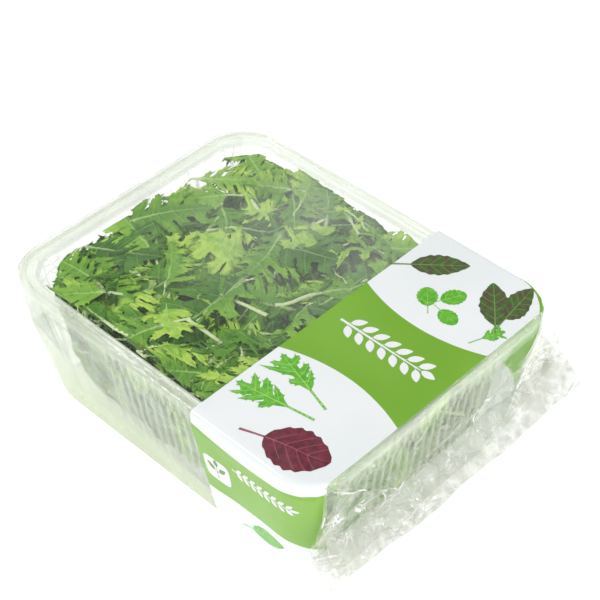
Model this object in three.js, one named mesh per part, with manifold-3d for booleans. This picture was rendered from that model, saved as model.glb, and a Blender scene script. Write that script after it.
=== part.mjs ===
// A retail pack of cut mizuna: a heap of loose, deeply cut leaves in a clear ribbed tray, in a clear
// film wrap with a crimped seal at each end and a printed band round one half.
// Millimetres, +Z up. X runs along the pack, and the origin is on the surface the pack stands on,
// under the middle of the tray.
import * as THREE from "three";
import { mergeVertices } from "three/addons/utils/BufferGeometryUtils.js";
import Module from "manifold-3d";

const wasm = await Module();
wasm.setup();

// Driving dimensions of the pack, over the film.
const PACK_LENGTH = 227;
const PACK_WIDTH = 178;
const PACK_HEIGHT = 85;
const BASE_LENGTH = 203;
const BASE_WIDTH = 154;
const RIM_CORNER = 26;
const BASE_CORNER = 22;
const CORNER_STEPS = 4;

// Film wrap and its printed band, which lies flush in the film.
const FILM = 0.6;
const PRINT = 0.3;
const GAP = 0.3;
const PRINT_INSET = PRINT + GAP;
const LIP_Z = 74;
const SECTION_STEPS = 2;
const TOP_FILLET = 3;
const BASE_FILLET = 5;
const BAND_START = 32;
const BAND_STEP = 0.3;
const BAND_REACH = 2.5;
const FIELD_GAP = 0.4;
const VENT_RADIUS = 1.5;
const VENT_SIDES = 6;
const VENT_PLACES = [-42, -14, 14, 42];

// Crimped end seals. The right one stands out and the left one is folded down on the tray's end.
const SEAL_COLUMNS = 8;
const SEAL_LAYER = 0.5;
const SEAL_OFFSET = 0.2;
const FILM_TOLERANCE = 0.06;
const CORNER_REACH = 3;
const RIGHT_SEAL = {
  side: 1,
  folded: false,
  crease: [106, 38],
  edge: [125, 31],
  half: 85,
  ripple: 1.3,
  ears: [[-8, -8], [6, 12]],
};
const LEFT_SEAL = {
  side: -1,
  folded: true,
  crease: [107, 44],
  edge: [111.5, 22],
  half: 76,
  ripple: 0.6,
  ears: [[0, 2], [0, 2]],
};

// Tray: the outer profile goes up from the base, over the grooved rim and down inside, as inset and height.
const TRAY_CLEAR = PRINT_INSET + FILM + GAP;
const TRAY_WALL = 1;
const TRAY_STEP_Z = 57;
const TRAY_TOP = PACK_HEIGHT - TRAY_CLEAR;
const TRAY_FLOOR = TRAY_CLEAR;
const TRAY_ROUND = 4;
const RIM_DEPTH = 7.6;
const RIM_DROP = 6;
const LIP_DROP = 2;
const LIP_WALL = 1.1;
const GROOVE_DEPTH = 1;
const TRAY_UNDER = TRAY_TOP - RIM_DROP;
const WALL_INSETS = { base: 18, underStep: 11.6, overStep: 10, rim: RIM_DEPTH + 0.4 };
const RIB_PITCH = 6;
const RIB_WIDTH = 2.6;
const RIB_DEPTH = 0.9;
const RIB_ROOT = 0.5;
const RIB_LOW = 9;
const RIB_HIGH = 72;
const SIDE_RIBS = 15;
const END_RIBS = 15;
const PAIR_PLACE = 86;

// Mizuna.
const BLADE = 0.7;
const TOP_CLEAR = PRINT_INSET + FILM + 0.7;
const CAVITY_CLEAR = 0.8;
const CAVITY_CORNER = 20;
const CORE_LOW = 5;
const CORE_HIGH = 62;
const CORE_CLEAR = 8;
const CORE_CRUMPLE = 3;
const CORE_CELLS = [7, 5, 3];
const HEAP_SEED = 905;
const TOP_COLUMNS = 9;
const TOP_ROWS = 4;
const WALL_ROWS = 2;
const SIDE_LEAVES = 4;
const END_LEAVES = 3;
const BOTTOM_COLUMNS = 2;
const BOTTOM_ROWS = 2;
const JITTER = 0.6;
const LEAF_TOLERANCE = 0.2;

// Eases from 0 to 1, mixes two values and keeps a value between two others.
const smooth = (t) => t * t * (3 - 2 * t);
const mix = (a, b, t) => a + (b - a) * t;
const limit = (value, low, high) => Math.min(high, Math.max(low, value));

// A seeded stream of numbers from 0 to 1.
function randomStream(seed) {
  let state = seed >>> 0;
  return () => {
    state = (state + 0x6d2b79f5) | 0;
    let t = Math.imul(state ^ (state >>> 15), 1 | state);
    t = (t + Math.imul(t ^ (t >>> 7), 61 | t)) ^ t;
    return ((t ^ (t >>> 14)) >>> 0) / 4294967296;
  };
}

// A geometry from points and triangles.
function geometryOf(points, triangles) {
  const geometry = new THREE.BufferGeometry();
  geometry.setAttribute("position", new THREE.Float32BufferAttribute(points.flat(), 3));
  geometry.setIndex(triangles.flat());
  return geometry;
}

// A closed geometry as a solid for cutting and joining.
function solidOf(geometry) {
  const bare = geometry.clone();
  for (const name of Object.keys(bare.attributes)) {
    if (name !== "position") bare.deleteAttribute(name);
  }
  const merged = mergeVertices(bare, 1e-4);
  const vertProperties = merged.attributes.position.array;
  const triVerts = new Uint32Array(merged.index.array);
  return new wasm.Manifold(new wasm.Mesh({ numProp: 3, vertProperties, triVerts }));
}

// A solid back as a geometry, with flat faces.
function shapeOf(solid) {
  const mesh = solid.getMesh();
  const geometry = new THREE.BufferGeometry();
  geometry.setAttribute("position", new THREE.Float32BufferAttribute(mesh.vertProperties, 3));
  geometry.setIndex(new THREE.Uint32BufferAttribute(mesh.triVerts, 1));
  const flat = geometry.toNonIndexed();
  flat.computeVertexNormals();
  return flat;
}

// A skin over rings of equal count, closed by a fan at each end.
function loft(rings) {
  const count = rings[0].length;
  const points = rings.flat();
  const triangles = [];
  for (let i = 0; i + 1 < rings.length; i++) {
    for (let k = 0; k < count; k++) {
      const a = i * count + k;
      const b = i * count + ((k + 1) % count);
      triangles.push([a, b, b + count], [a, b + count, a + count]);
    }
  }
  const last = (rings.length - 1) * count;
  const middle = (ring) => [0, 1, 2].map((n) => ring.reduce((sum, p) => sum + p[n], 0) / count);
  points.push(middle(rings[0]), middle(rings[rings.length - 1]));
  for (let k = 0; k < count; k++) {
    const next = (k + 1) % count;
    triangles.push([points.length - 2, next, k]);
    triangles.push([points.length - 1, last + k, last + next]);
  }
  return geometryOf(points, triangles);
}

// Level outline with round corners, anticlockwise from above.
function roundedOutline(halfX, halfY, radius, z) {
  const ring = [];
  for (let corner = 0; corner < 4; corner++) {
    const signX = corner === 0 || corner === 3 ? 1 : -1;
    const signY = corner < 2 ? 1 : -1;
    for (let step = 0; step <= CORNER_STEPS; step++) {
      const angle = (Math.PI / 2) * (corner + step / CORNER_STEPS);
      ring.push([
        signX * (halfX - radius) + radius * Math.cos(angle),
        signY * (halfY - radius) + radius * Math.sin(angle),
        z,
      ]);
    }
  }
  return ring;
}

// A thin plate of even thickness round a middle surface.
function plateSolid({ points, faces }, thickness) {
  const normals = points.map(() => new THREE.Vector3());
  const vector = (i) => new THREE.Vector3(...points[i]);
  for (const [a, b, c] of faces) {
    const normal = vector(b).sub(vector(a)).cross(vector(c).sub(vector(a)));
    for (const corner of [a, b, c]) normals[corner].add(normal);
  }
  const offset = (sign) =>
    points.map((_, i) =>
      vector(i).addScaledVector(normals[i].clone().normalize(), (sign * thickness) / 2).toArray(),
    );
  const count = points.length;
  const sides = new Map();
  for (const [a, b, c] of faces) {
    for (const [from, to] of [[a, b], [b, c], [c, a]]) {
      if (sides.has(`${to},${from}`)) sides.delete(`${to},${from}`);
      else sides.set(`${from},${to}`, [from, to]);
    }
  }
  const walls = [...sides.values()].flatMap(([from, to]) => [
    [from, from + count, to + count],
    [from, to + count, to],
  ]);
  const under = faces.map(([a, b, c]) => [a + count, c + count, b + count]);
  return solidOf(geometryOf([...offset(1), ...offset(-1)], [...faces, ...under, ...walls]));
}

// Tray

// Inset of the tray's outer wall from the rim's outline at a height.
function wallInset(z) {
  if (z >= TRAY_STEP_Z) {
    return mix(WALL_INSETS.overStep, WALL_INSETS.rim, (z - TRAY_STEP_Z) / (TRAY_UNDER - TRAY_STEP_Z));
  }
  return mix(WALL_INSETS.base, WALL_INSETS.underStep, (z - TRAY_FLOOR) / (TRAY_STEP_Z - 1 - TRAY_FLOOR));
}

// The tray's outline at an inset from the rim's edge.
function trayOutline(inset, z) {
  const shrink = limit(inset / WALL_INSETS.base, 0, 1);
  const radius = mix(RIM_CORNER - TRAY_CLEAR, BASE_CORNER - 6, shrink);
  return roundedOutline(
    PACK_LENGTH / 2 - TRAY_CLEAR - inset,
    PACK_WIDTH / 2 - TRAY_CLEAR - inset,
    radius,
    z,
  );
}

// Rings of the tray's sheet: base, stepped wall, rim with a groove, then the same inside.
function trayRings() {
  const outer = [
    [wallInset(TRAY_FLOOR) + TRAY_ROUND, TRAY_FLOOR],
    [wallInset(TRAY_FLOOR + TRAY_ROUND), TRAY_FLOOR + TRAY_ROUND],
    [wallInset(TRAY_STEP_Z - 1), TRAY_STEP_Z - 1],
    [wallInset(TRAY_STEP_Z), TRAY_STEP_Z],
    [wallInset(TRAY_UNDER), TRAY_UNDER],
    [LIP_WALL, TRAY_UNDER + 0.6],
    [LIP_WALL, TRAY_UNDER - LIP_DROP],
    [0, TRAY_UNDER - LIP_DROP],
    [0, TRAY_TOP - 1.8],
    [1.5, TRAY_TOP],
  ];
  const rim = [
    [2.8, TRAY_TOP],
    [3.4, TRAY_TOP - GROOVE_DEPTH],
    [5.4, TRAY_TOP - GROOVE_DEPTH],
    [6, TRAY_TOP],
    [RIM_DEPTH, TRAY_TOP],
  ];
  const inner = [
    [wallInset(TRAY_UNDER) + TRAY_WALL, TRAY_UNDER],
    [wallInset(TRAY_STEP_Z) + TRAY_WALL, TRAY_STEP_Z + 0.6],
    [wallInset(TRAY_STEP_Z - 1) + TRAY_WALL, TRAY_STEP_Z - 0.4],
    [wallInset(TRAY_FLOOR + TRAY_ROUND) + TRAY_WALL, TRAY_FLOOR + TRAY_ROUND + TRAY_WALL],
    [wallInset(TRAY_FLOOR) + TRAY_ROUND + TRAY_WALL, TRAY_FLOOR + TRAY_WALL],
  ];
  return [...outer, ...rim, ...inner].map(([inset, z]) => trayOutline(inset, z));
}

// One upright rib: a three-sided ridge up the wall that looks along +X, bridging the wall's step.
function ribGeometry(halfLength) {
  const rings = [RIB_LOW, RIB_HIGH].map((z) => {
    const face = halfLength - wallInset(z);
    return [
      [face + RIB_DEPTH, 0, z],
      [face - RIB_ROOT, RIB_WIDTH / 2, z],
      [face - RIB_ROOT, -RIB_WIDTH / 2, z],
    ];
  });
  return loft(rings);
}

// Where the ribs stand: along X on the sides and along Y on the ends.
function ribTransforms() {
  const placed = [];
  const spread = (count) => [...Array(count).keys()].map((i) => (i - (count - 1) / 2) * RIB_PITCH);
  const sidePlaces = [...spread(SIDE_RIBS)];
  for (const sign of [-1, 1]) {
    sidePlaces.push(sign * PAIR_PLACE, sign * (PAIR_PLACE - RIB_PITCH));
  }
  for (const turn of [1, -1]) {
    for (const x of sidePlaces) placed.push({ angle: (turn * Math.PI) / 2, shift: [x, 0], side: true });
    for (const y of spread(END_RIBS)) {
      placed.push({ angle: turn > 0 ? 0 : Math.PI, shift: [0, y], side: false });
    }
  }
  return placed;
}

function traySolid() {
  const halfX = PACK_LENGTH / 2 - TRAY_CLEAR;
  const halfY = PACK_WIDTH / 2 - TRAY_CLEAR;
  const sheet = solidOf(loft(trayRings()));
  const ribs = ribTransforms().map(({ angle, shift, side }) => {
    const rib = ribGeometry(side ? halfY : halfX);
    rib.rotateZ(angle);
    rib.translate(shift[0], shift[1], 0);
    return solidOf(rib);
  });
  return wasm.Manifold.union([sheet, ...ribs]);
}

// Film

// How far along X a point of a film section lies: upright down to the lip, then leaning in to the base.
function leanX(topX, baseX, z) {
  return z >= LIP_Z ? topX : mix(baseX, topX, z / LIP_Z);
}

// One section of the wrap, anticlockwise seen from +X. spread is 1 in the straight part of the pack and
// 0 where the rounded corners end.
function filmSection(topX, baseX, spread, inset) {
  const halfTop = PACK_WIDTH / 2 - RIM_CORNER + (RIM_CORNER - inset) * spread;
  const halfBase = BASE_WIDTH / 2 - BASE_CORNER + (BASE_CORNER - inset) * spread;
  const low = inset;
  const high = PACK_HEIGHT - inset;
  const baseRound = BASE_FILLET - inset;
  const topRound = TOP_FILLET - inset;
  const right = [];
  for (let i = 0; i <= SECTION_STEPS; i++) {
    const angle = (Math.PI / 2) * (i / SECTION_STEPS);
    right.push([halfBase - baseRound * (1 - Math.sin(angle)), low + baseRound * (1 - Math.cos(angle))]);
  }
  right.push([halfTop, LIP_Z]);
  for (let i = 0; i <= SECTION_STEPS; i++) {
    const angle = (Math.PI / 2) * (i / SECTION_STEPS);
    right.push([halfTop - topRound * (1 - Math.cos(angle)), high - topRound * (1 - Math.sin(angle))]);
  }
  const left = right.map(([y, z]) => [-y, z]).reverse();
  return [...right, ...left].map(([y, z]) => [leanX(topX, baseX, z), y, z]);
}

// The rings round a rounded end, from its start to its furthest point. sign is the end, +1 or -1.
function endRings(sign, inset, steps) {
  return steps.map((step) => {
    const angle = (Math.PI / 2) * (step / CORNER_STEPS);
    const topX = PACK_LENGTH / 2 - RIM_CORNER + (RIM_CORNER - inset) * Math.sin(angle);
    const baseX = BASE_LENGTH / 2 - BASE_CORNER + (BASE_CORNER - inset) * Math.sin(angle);
    return filmSection(sign * topX, sign * baseX, Math.cos(angle), inset);
  });
}

// The X of the rim's outline, or of the base's, at a place across the pack.
function outlineX(y, halfX, halfY, radius) {
  const over = Math.max(0, Math.abs(y) - (halfY - radius));
  return halfX - radius + Math.sqrt(radius * radius - over * over);
}

// A point of a seal: share is 0 at the crease and 1 at the crimped edge, u goes across from -1 to 1.
function sealPoint(seal, share, u, layer) {
  const { side, crease, edge, half, ripple, ears } = seal;
  const ear = ears[u < 0 ? 0 : 1];
  const lift = Math.abs(u) ** 3 * share;
  const wave = ripple * share * Math.sin(u * 9 + 1);
  const x = mix(crease[0], edge[0], share) + ear[0] * lift;
  const z = mix(crease[1], edge[1], share) + ear[1] * lift + wave;
  const offset = layer * SEAL_OFFSET;
  if (seal.folded) return [side * (x + offset), u * half, z];
  return [side * x, u * half, z + offset];
}

// The film that closes one end: the gathered sheet that falls from the rim, the one that comes up from
// the base, both out to the crimped edge of the seal, and a gusset at each corner.
function endSheets(seal) {
  const { side, crease } = seal;
  const skin = FILM / 2;
  const columns = [...Array(SEAL_COLUMNS + 1).keys()].map((i) => -Math.cos((Math.PI * i) / SEAL_COLUMNS));
  const turn = (Math.PI / 2) * (CORNER_REACH / CORNER_STEPS);
  const rimHalf = PACK_WIDTH / 2 - RIM_CORNER * (1 - Math.cos(turn));
  const baseHalf = BASE_WIDTH / 2 - BASE_CORNER * (1 - Math.cos(turn)) - BASE_FILLET;
  const rimX = (u) => outlineX(u * rimHalf, PACK_LENGTH / 2, PACK_WIDTH / 2, RIM_CORNER) - skin;
  const baseX = (u) => outlineX(u * baseHalf, BASE_LENGTH / 2, BASE_WIDTH / 2, BASE_CORNER);
  const endX = PACK_LENGTH / 2 - RIM_CORNER * (1 - Math.sin(turn)) - 1;
  const baseEndX = BASE_LENGTH / 2 - BASE_CORNER * (1 - Math.sin(turn)) - 1;
  const row = (put) => columns.map((u, i) => put(u, i));
  const gathered = (from, share, layer) =>
    row((u, i) => {
      const start = from(u);
      const end = sealPoint(seal, 0, u, layer);
      const fold = side * Math.sin(share * Math.PI) * (1.2 * Math.sin(i * 2.3) + 0.8);
      return [mix(start[0], end[0], share) + fold, mix(start[1], end[1], share), mix(start[2], end[2], share)];
    });
  const shares = seal.folded ? [0, 1] : [0, 0.5, 1];
  const seals = (layer) => shares.map((share) => row((u) => sealPoint(seal, share, u, layer)));
  const lip = (u) => [side * rimX(u), u * (rimHalf - skin), LIP_Z + 1];
  const falling = [
    row((u) => [side * endX, u * (rimHalf - TOP_FILLET), PACK_HEIGHT - skin]),
    row((u) => [side * Math.max(rimX(u) - 1.6, endX + 0.4), u * (rimHalf - TOP_FILLET), PACK_HEIGHT - skin]),
    row((u) => [side * rimX(u), u * (rimHalf - skin), PACK_HEIGHT - TOP_FILLET]),
    row(lip),
    gathered(lip, 0.45, 1),
    ...seals(1),
  ];
  const base = (u) => [side * baseX(u), u * baseHalf, skin];
  const rising = [
    row((u) => [side * baseEndX, u * baseHalf, skin]),
    row(base),
    gathered(base, 0.5, -1),
    ...(seal.folded ? [row((u) => sealPoint(seal, 0, u, -1))] : seals(-1)),
  ];
  const gusset = (hand) => {
    const edge = [
      [side * (endX + 0.6), hand * (rimHalf - skin), LIP_Z + 1],
      [side * (mix(endX, baseEndX, 0.5) + 0.6), hand * (mix(rimHalf, baseHalf + 4, 0.5) - skin), crease[1]],
      [side * (baseEndX + 0.6), hand * (baseHalf + BASE_FILLET - skin), 1],
    ];
    const ear = sealPoint(seal, 0.03, hand * 0.97, 0);
    const fold = edge.map((point, i) =>
      point.map((value, n) => mix(value, ear[n], 0.55) - (i === 1 && n === 0 ? side * 2 : 0)),
    );
    const faces = [[0, 1, 4], [0, 4, 3], [1, 2, 5], [1, 5, 4], [3, 4, 6], [4, 5, 6]];
    return { points: [...edge, ...fold, ear], faces };
  };
  const surfaces = [gridSurface(falling), gridSurface(rising), gusset(-1), gusset(1)];
  return surfaces.map((surface) => plateSolid(surface, SEAL_LAYER));
}

// A surface over equal rows of points.
function gridSurface(rows) {
  const count = rows[0].length;
  const faces = [];
  for (let i = 0; i + 1 < rows.length; i++) {
    for (let k = 0; k + 1 < count; k++) {
      const a = i * count + k;
      faces.push([a, a + 1, a + count + 1], [a, a + count + 1, a + count]);
    }
  }
  return { points: rows.flat(), faces };
}

function filmSolid() {
  const reach = [...Array(CORNER_REACH + 1).keys()];
  const skin = (inset) => [
    ...endRings(-1, inset, reach).reverse(),
    filmSection(BAND_START - BAND_STEP, BAND_START - BAND_STEP, 1, inset),
    filmSection(BAND_START, BAND_START, 1, inset + PRINT_INSET),
    ...endRings(1, inset + PRINT_INSET, [0, 1, 2, BAND_REACH + 0.1]),
    ...endRings(1, inset, [BAND_REACH + 0.2, CORNER_REACH]),
  ];
  const outer = skin(0);
  const inner = skin(FILM);
  const beyond = (ring, by) => ring.map(([x, y, z]) => [x + by, y, z]);
  const hollow = [beyond(inner[0], -2), ...inner, beyond(inner[inner.length - 1], 2)];
  const tube = solidOf(loft(outer)).subtract(solidOf(loft(hollow)));
  const vents = VENT_PLACES.map((y) => {
    const vent = new THREE.CylinderGeometry(VENT_RADIUS, VENT_RADIUS, 14, VENT_SIDES);
    vent.rotateZ(Math.PI / 2);
    vent.translate(-PACK_LENGTH / 2 + 2, y, LIP_Z - 9);
    return solidOf(vent);
  });
  const ends = [LEFT_SEAL, RIGHT_SEAL].flatMap(endSheets);
  return wasm.Manifold.union([tube, ...ends]).subtract(wasm.Manifold.union(vents)).simplify(FILM_TOLERANCE);
}

// Print

// The printed band as a sleeve, flush with the film.
function bandSleeve() {
  const steps = [0, 1, 2, BAND_REACH];
  const start = (inset, by) => filmSection(BAND_START + by, BAND_START + by, 1, inset);
  const outer = [start(0, GAP), ...endRings(1, 0, steps)];
  const inner = [start(PRINT, -1), ...endRings(1, PRINT, steps)];
  const beyond = inner[inner.length - 1].map(([x, y, z]) => [x + 2, y, z]);
  return solidOf(loft(outer)).subtract(solidOf(loft([...inner, beyond])));
}

// An upright or level prism over an outline, which cuts one green field out of the band.
function fieldPrism(outline, place) {
  const shape = new THREE.Shape(outline.map(([a, b]) => new THREE.Vector2(a, b)));
  const prism = new THREE.ExtrudeGeometry(shape, { depth: 40, bevelEnabled: false });
  place(prism);
  return solidOf(prism);
}

// The two bowed long edges of a green field, as an outline. grow moves every edge out.
function fieldOutline(low, high, bow, grow) {
  const start = BAND_START + 1.6 - grow;
  const end = PACK_LENGTH / 2 - 7 + grow;
  const points = [];
  const steps = 6;
  const bend = (t) => bow * 4 * (t - 0.5) ** 2;
  for (let i = 0; i <= steps; i++) points.push([mix(start, end, i / steps), low - bend(i / steps) - grow]);
  for (let i = steps; i >= 0; i--) points.push([mix(start, end, i / steps), high + bend(i / steps) + grow]);
  return points;
}

const GREEN_FIELDS = {
  print_green_top: { low: -22, high: 24, bow: 9, wall: 0 },
  print_green_front: { low: 30, high: 74, bow: 3, wall: -1 },
  print_green_back: { low: 30, high: 74, bow: 3, wall: 1 },
};

function greenPrism({ low, high, bow, wall }, grow) {
  const outline = fieldOutline(low, high, bow, grow);
  return fieldPrism(outline, (prism) => {
    if (wall === 0) {
      prism.translate(0, 0, PACK_HEIGHT - 10);
      return;
    }
    prism.rotateX(Math.PI / 2);
    prism.translate(0, wall > 0 ? PACK_WIDTH / 2 + 5 : -PACK_WIDTH / 2 + 35, 0);
  });
}

// Mizuna

// The inside of the tray that leaves may fill, as the half sizes at a height.
function cavityHalf(z) {
  const inset = TRAY_CLEAR + wallInset(limit(z - TRAY_ROUND, TRAY_FLOOR, TRAY_UNDER)) + TRAY_WALL + CAVITY_CLEAR;
  return [PACK_LENGTH / 2 - inset, PACK_WIDTH / 2 - inset];
}

// Keeps a point inside the tray and under the film, with its rounded corners.
function keepInside([x, y, z]) {
  const height = limit(z, TRAY_FLOOR + 2.6, PACK_HEIGHT - TOP_CLEAR - BLADE / 2);
  const lowEdge = Math.max(0, TRAY_FLOOR + 7 - height);
  const [halfX, halfY] = cavityHalf(height).map((half) => half - lowEdge * 0.8);
  const radius = CAVITY_CORNER;
  const overX = Math.abs(x) - (halfX - radius);
  const overY = Math.abs(y) - (halfY - radius);
  if (overX > 0 && overY > 0) {
    const away = Math.hypot(overX, overY);
    const share = Math.min(1, radius / away);
    return [
      Math.sign(x) * (halfX - radius + overX * share),
      Math.sign(y) * (halfY - radius + overY * share),
      height,
    ];
  }
  return [limit(x, -halfX, halfX), limit(y, -halfY, halfY), height];
}

// A crumpled core of pressed leaves that the blades stand out of.
function coreSolid(draw) {
  const box = new THREE.BoxGeometry(2, 2, 2, CORE_CELLS[0], CORE_CELLS[1], CORE_CELLS[2]);
  for (const name of ["normal", "uv"]) box.deleteAttribute(name);
  const core = mergeVertices(box, 1e-4);
  const position = core.attributes.position;
  for (let i = 0; i < position.count; i++) {
    const [u, v, w] = [position.getX(i), position.getY(i), position.getZ(i)];
    const crumple = (draw() - 0.5) * 2 * CORE_CRUMPLE;
    const z = mix(CORE_LOW, CORE_HIGH, (w + 1) / 2) + (w > 0.9 ? crumple : 0);
    const half = cavityHalf(z).map((value) => value - CORE_CLEAR + crumple);
    const corner = 1 - 0.1 * u * u * v * v;
    position.setXYZ(i, u * corner * half[0], v * corner * half[1], z);
  }
  return solidOf(core);
}

// The frame of one leaf: its middle, the way it grows, the way across and the way it faces.
function leafFrame(middle, heading, facing, draw) {
  const normal = new THREE.Vector3(...facing);
  const along = new THREE.Vector3(...heading).projectOnPlane(normal).normalize();
  const roll = (draw() - 0.5) * 0.5;
  const across = new THREE.Vector3().crossVectors(normal, along).applyAxisAngle(along, roll);
  const face = new THREE.Vector3().crossVectors(along, across);
  return { middle: new THREE.Vector3(...middle), along, across, face };
}

// A point of the leaf: s runs from the cut stem to the tip, w across, both as drawn flat.
function leafPoint(leaf, s, w) {
  const { frame, length, sink, arch, bend } = leaf;
  const rise = s < 0.34 ? -sink * (1 - smooth(s / 0.34)) : -arch * ((s - 0.34) / 0.66) ** 2;
  const cup = -0.012 * w * w;
  const point = frame.middle
    .clone()
    .addScaledVector(frame.along, (s - 0.52) * length)
    .addScaledVector(frame.across, w + bend * Math.sin(Math.PI * s))
    .addScaledVector(frame.face, rise + cup);
  return keepInside(point.toArray());
}

// The flat pattern of a leaf: rows of rib, left and right points, with a pointed lobe after each row.
function leafPattern(leaf, draw) {
  const { lobes, halfWidth } = leaf;
  const bladeStart = 0.3;
  const share = (b) => bladeStart + (1 - bladeStart) * b;
  const rows = [];
  const tips = [];
  for (let i = 0; i <= lobes; i++) {
    const b = i / (lobes + 0.75);
    const waist = i === 0 ? 1 : halfWidth * (0.2 + 0.14 * Math.sin(Math.PI * b));
    rows.push({ s: share(b), waist });
    if (i === lobes) break;
    const spread = halfWidth * (0.45 + 0.55 * Math.sin(Math.PI * (0.1 + 0.8 * b)));
    tips.push([-1, 1].map((side) => ({
      s: share(b + (0.72 + 0.3 * draw()) / (lobes + 0.75)),
      w: side * spread * (0.8 + 0.3 * draw()),
    })));
  }
  return { rows, tips };
}

// Points and triangles of the leaf's middle surface, with the outline's edges in order.
function leafSurface(leaf, draw) {
  const { rows, tips } = leafPattern(leaf, draw);
  const points = [];
  const faces = [];
  const put = (s, w) => points.push(leafPoint(leaf, s, w)) - 1;
  const stemLeft = put(0, -1.1);
  const stemRight = put(0, 1.1);
  const midLeft = put(0.16, -1);
  const midRight = put(0.16, 1);
  faces.push([stemLeft, midRight, midLeft], [stemLeft, stemRight, midRight]);
  const placed = rows.map(({ s, waist }, i) => ({
    left: put(s, -waist),
    right: put(s, waist),
    rib: i === 0 ? null : put(s, 0),
  }));
  const base = placed[0];
  faces.push([midLeft, base.right, base.left], [midLeft, midRight, base.right]);
  tips.forEach(([leftTip, rightTip], i) => {
    const low = placed[i];
    const high = placed[i + 1];
    const left = put(leftTip.s, leftTip.w);
    const right = put(rightTip.s, rightTip.w);
    faces.push([low.left, high.left, left], [low.right, right, high.right]);
    if (low.rib === null) {
      faces.push([low.left, low.right, high.rib], [low.left, high.rib, high.left]);
      faces.push([low.right, high.right, high.rib]);
    } else {
      faces.push([low.left, low.rib, high.rib], [low.left, high.rib, high.left]);
      faces.push([low.rib, low.right, high.right], [low.rib, high.right, high.rib]);
    }
  });
  const top = placed[placed.length - 1];
  const tip = put(1, 0);
  faces.push([top.left, top.rib, tip], [top.rib, top.right, tip]);
  return { points, faces };
}

// One leaf from its place in the heap. Every leaf draws the same count of numbers before its lobes.
function drawLeaf(draw, place) {
  const spin = draw() * Math.PI * 2;
  const length = mix(64, 96, draw()) * place.size;
  const halfWidth = length * mix(0.19, 0.26, draw());
  const arch = mix(0, 5, draw());
  const bend = (draw() - 0.5) * 9;
  const heading = place.heading(spin);
  const reach = (part) => place.middle.map((value, n) => value + heading[n] * part * length);
  const shift = [0, 0, 0];
  for (const part of [-0.5, 0.48]) {
    const end = reach(part);
    const kept = keepInside(end);
    for (const n of [0, 1, 2]) {
      if (Math.abs(kept[n] - end[n]) > Math.abs(shift[n])) shift[n] = kept[n] - end[n];
    }
  }
  const middle = place.middle.map((value, n) => value + shift[n]);
  const frame = leafFrame(middle, heading, place.facing, draw);
  return { frame, length, halfWidth, arch, bend, sink: place.sink, lobes: place.lobes };
}

// The places of the leaves: a jittered grid on top, rows along the four walls and a few underneath.
function leafPlaces(draw) {
  const places = [];
  const flatHeading = (spin) => [Math.cos(spin), Math.sin(spin), 0];
  const grid = (columns, rows, put) => {
    for (let i = 0; i < columns * rows; i++) {
      const across = ((i % columns) + 0.5 + (draw() - 0.5) * JITTER) / columns - 0.5;
      const along = (Math.floor(i / columns) + 0.5 + (draw() - 0.5) * JITTER) / rows - 0.5;
      put(across, along, draw());
    }
  };
  grid(TOP_COLUMNS, TOP_ROWS, (across, along, level) => {
    const z = mix(CORE_HIGH + 7, PACK_HEIGHT - 4, level);
    const sink = z - CORE_HIGH + 5;
    const middle = [across * 196, along * 148, z];
    places.push({ middle, heading: flatHeading, facing: [0, 0, 1], sink, lobes: 4, size: 1 });
  });
  for (const sign of [-1, 1]) {
    for (const [count, long] of [[SIDE_LEAVES, true], [END_LEAVES, false]]) {
      for (let i = 0; i < count * WALL_ROWS; i++) {
        const column = Math.floor(i / WALL_ROWS);
        const step = ((column + 0.3 + 0.4 * (i % WALL_ROWS)) / count - 0.5) * (long ? 176 : 124);
        const z = mix(19, 47, ((i % WALL_ROWS) + 0.5 * draw()) / (WALL_ROWS - 0.5));
        const [halfX, halfY] = cavityHalf(z);
        const middle = long ? [step, sign * (halfY - 1), z] : [sign * (halfX - 1), step, z];
        const facing = long ? [0, sign, 0] : [sign, 0, 0];
        const heading = (spin) => {
          const level = Math.cos(spin);
          const up = 0.5 * Math.sin(spin);
          return long ? [level, 0, up] : [0, level, up];
        };
        places.push({ middle, heading, facing, sink: 12, lobes: 3, size: 0.74 });
      }
    }
  }
  grid(BOTTOM_COLUMNS, BOTTOM_ROWS, (across, along) => {
    const middle = [across * 150, along * 110, CORE_LOW - 1];
    places.push({ middle, heading: flatHeading, facing: [0, 0, -1], sink: 6, lobes: 3, size: 0.8 });
  });
  return places;
}

function mizunaSolid() {
  const draw = randomStream(HEAP_SEED);
  const leaves = leafPlaces(draw).map((place) => drawLeaf(draw, place));
  const blades = leaves.map((leaf) => plateSolid(leafSurface(leaf, draw), BLADE));
  const joined = wasm.Manifold.union([coreSolid(draw), ...blades]).simplify(LEAF_TOLERANCE);
  const bodies = joined.decompose().sort((a, b) => b.volume() - a.volume());
  return bodies[0];
}

// Assembly

const clearPlastic = { color: 0xe9efe8, roughness: 0.12, metalness: 0, transparent: true };
const MATERIALS = {
  tray: new THREE.MeshStandardMaterial({ ...clearPlastic, opacity: 0.3 }),
  film: new THREE.MeshStandardMaterial({ ...clearPlastic, opacity: 0.16, roughness: 0.08 }),
  white: new THREE.MeshStandardMaterial({ color: 0xf1f4f4, roughness: 0.35, metalness: 0 }),
  green: new THREE.MeshStandardMaterial({ color: 0x84b94a, roughness: 0.35, metalness: 0 }),
  leaf: new THREE.MeshStandardMaterial({ color: 0x5f9d33, roughness: 0.55, metalness: 0 }),
};

function addNode(group, name, solid, material) {
  const mesh = new THREE.Mesh(shapeOf(solid), material);
  mesh.name = name;
  group.add(mesh);
}

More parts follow.
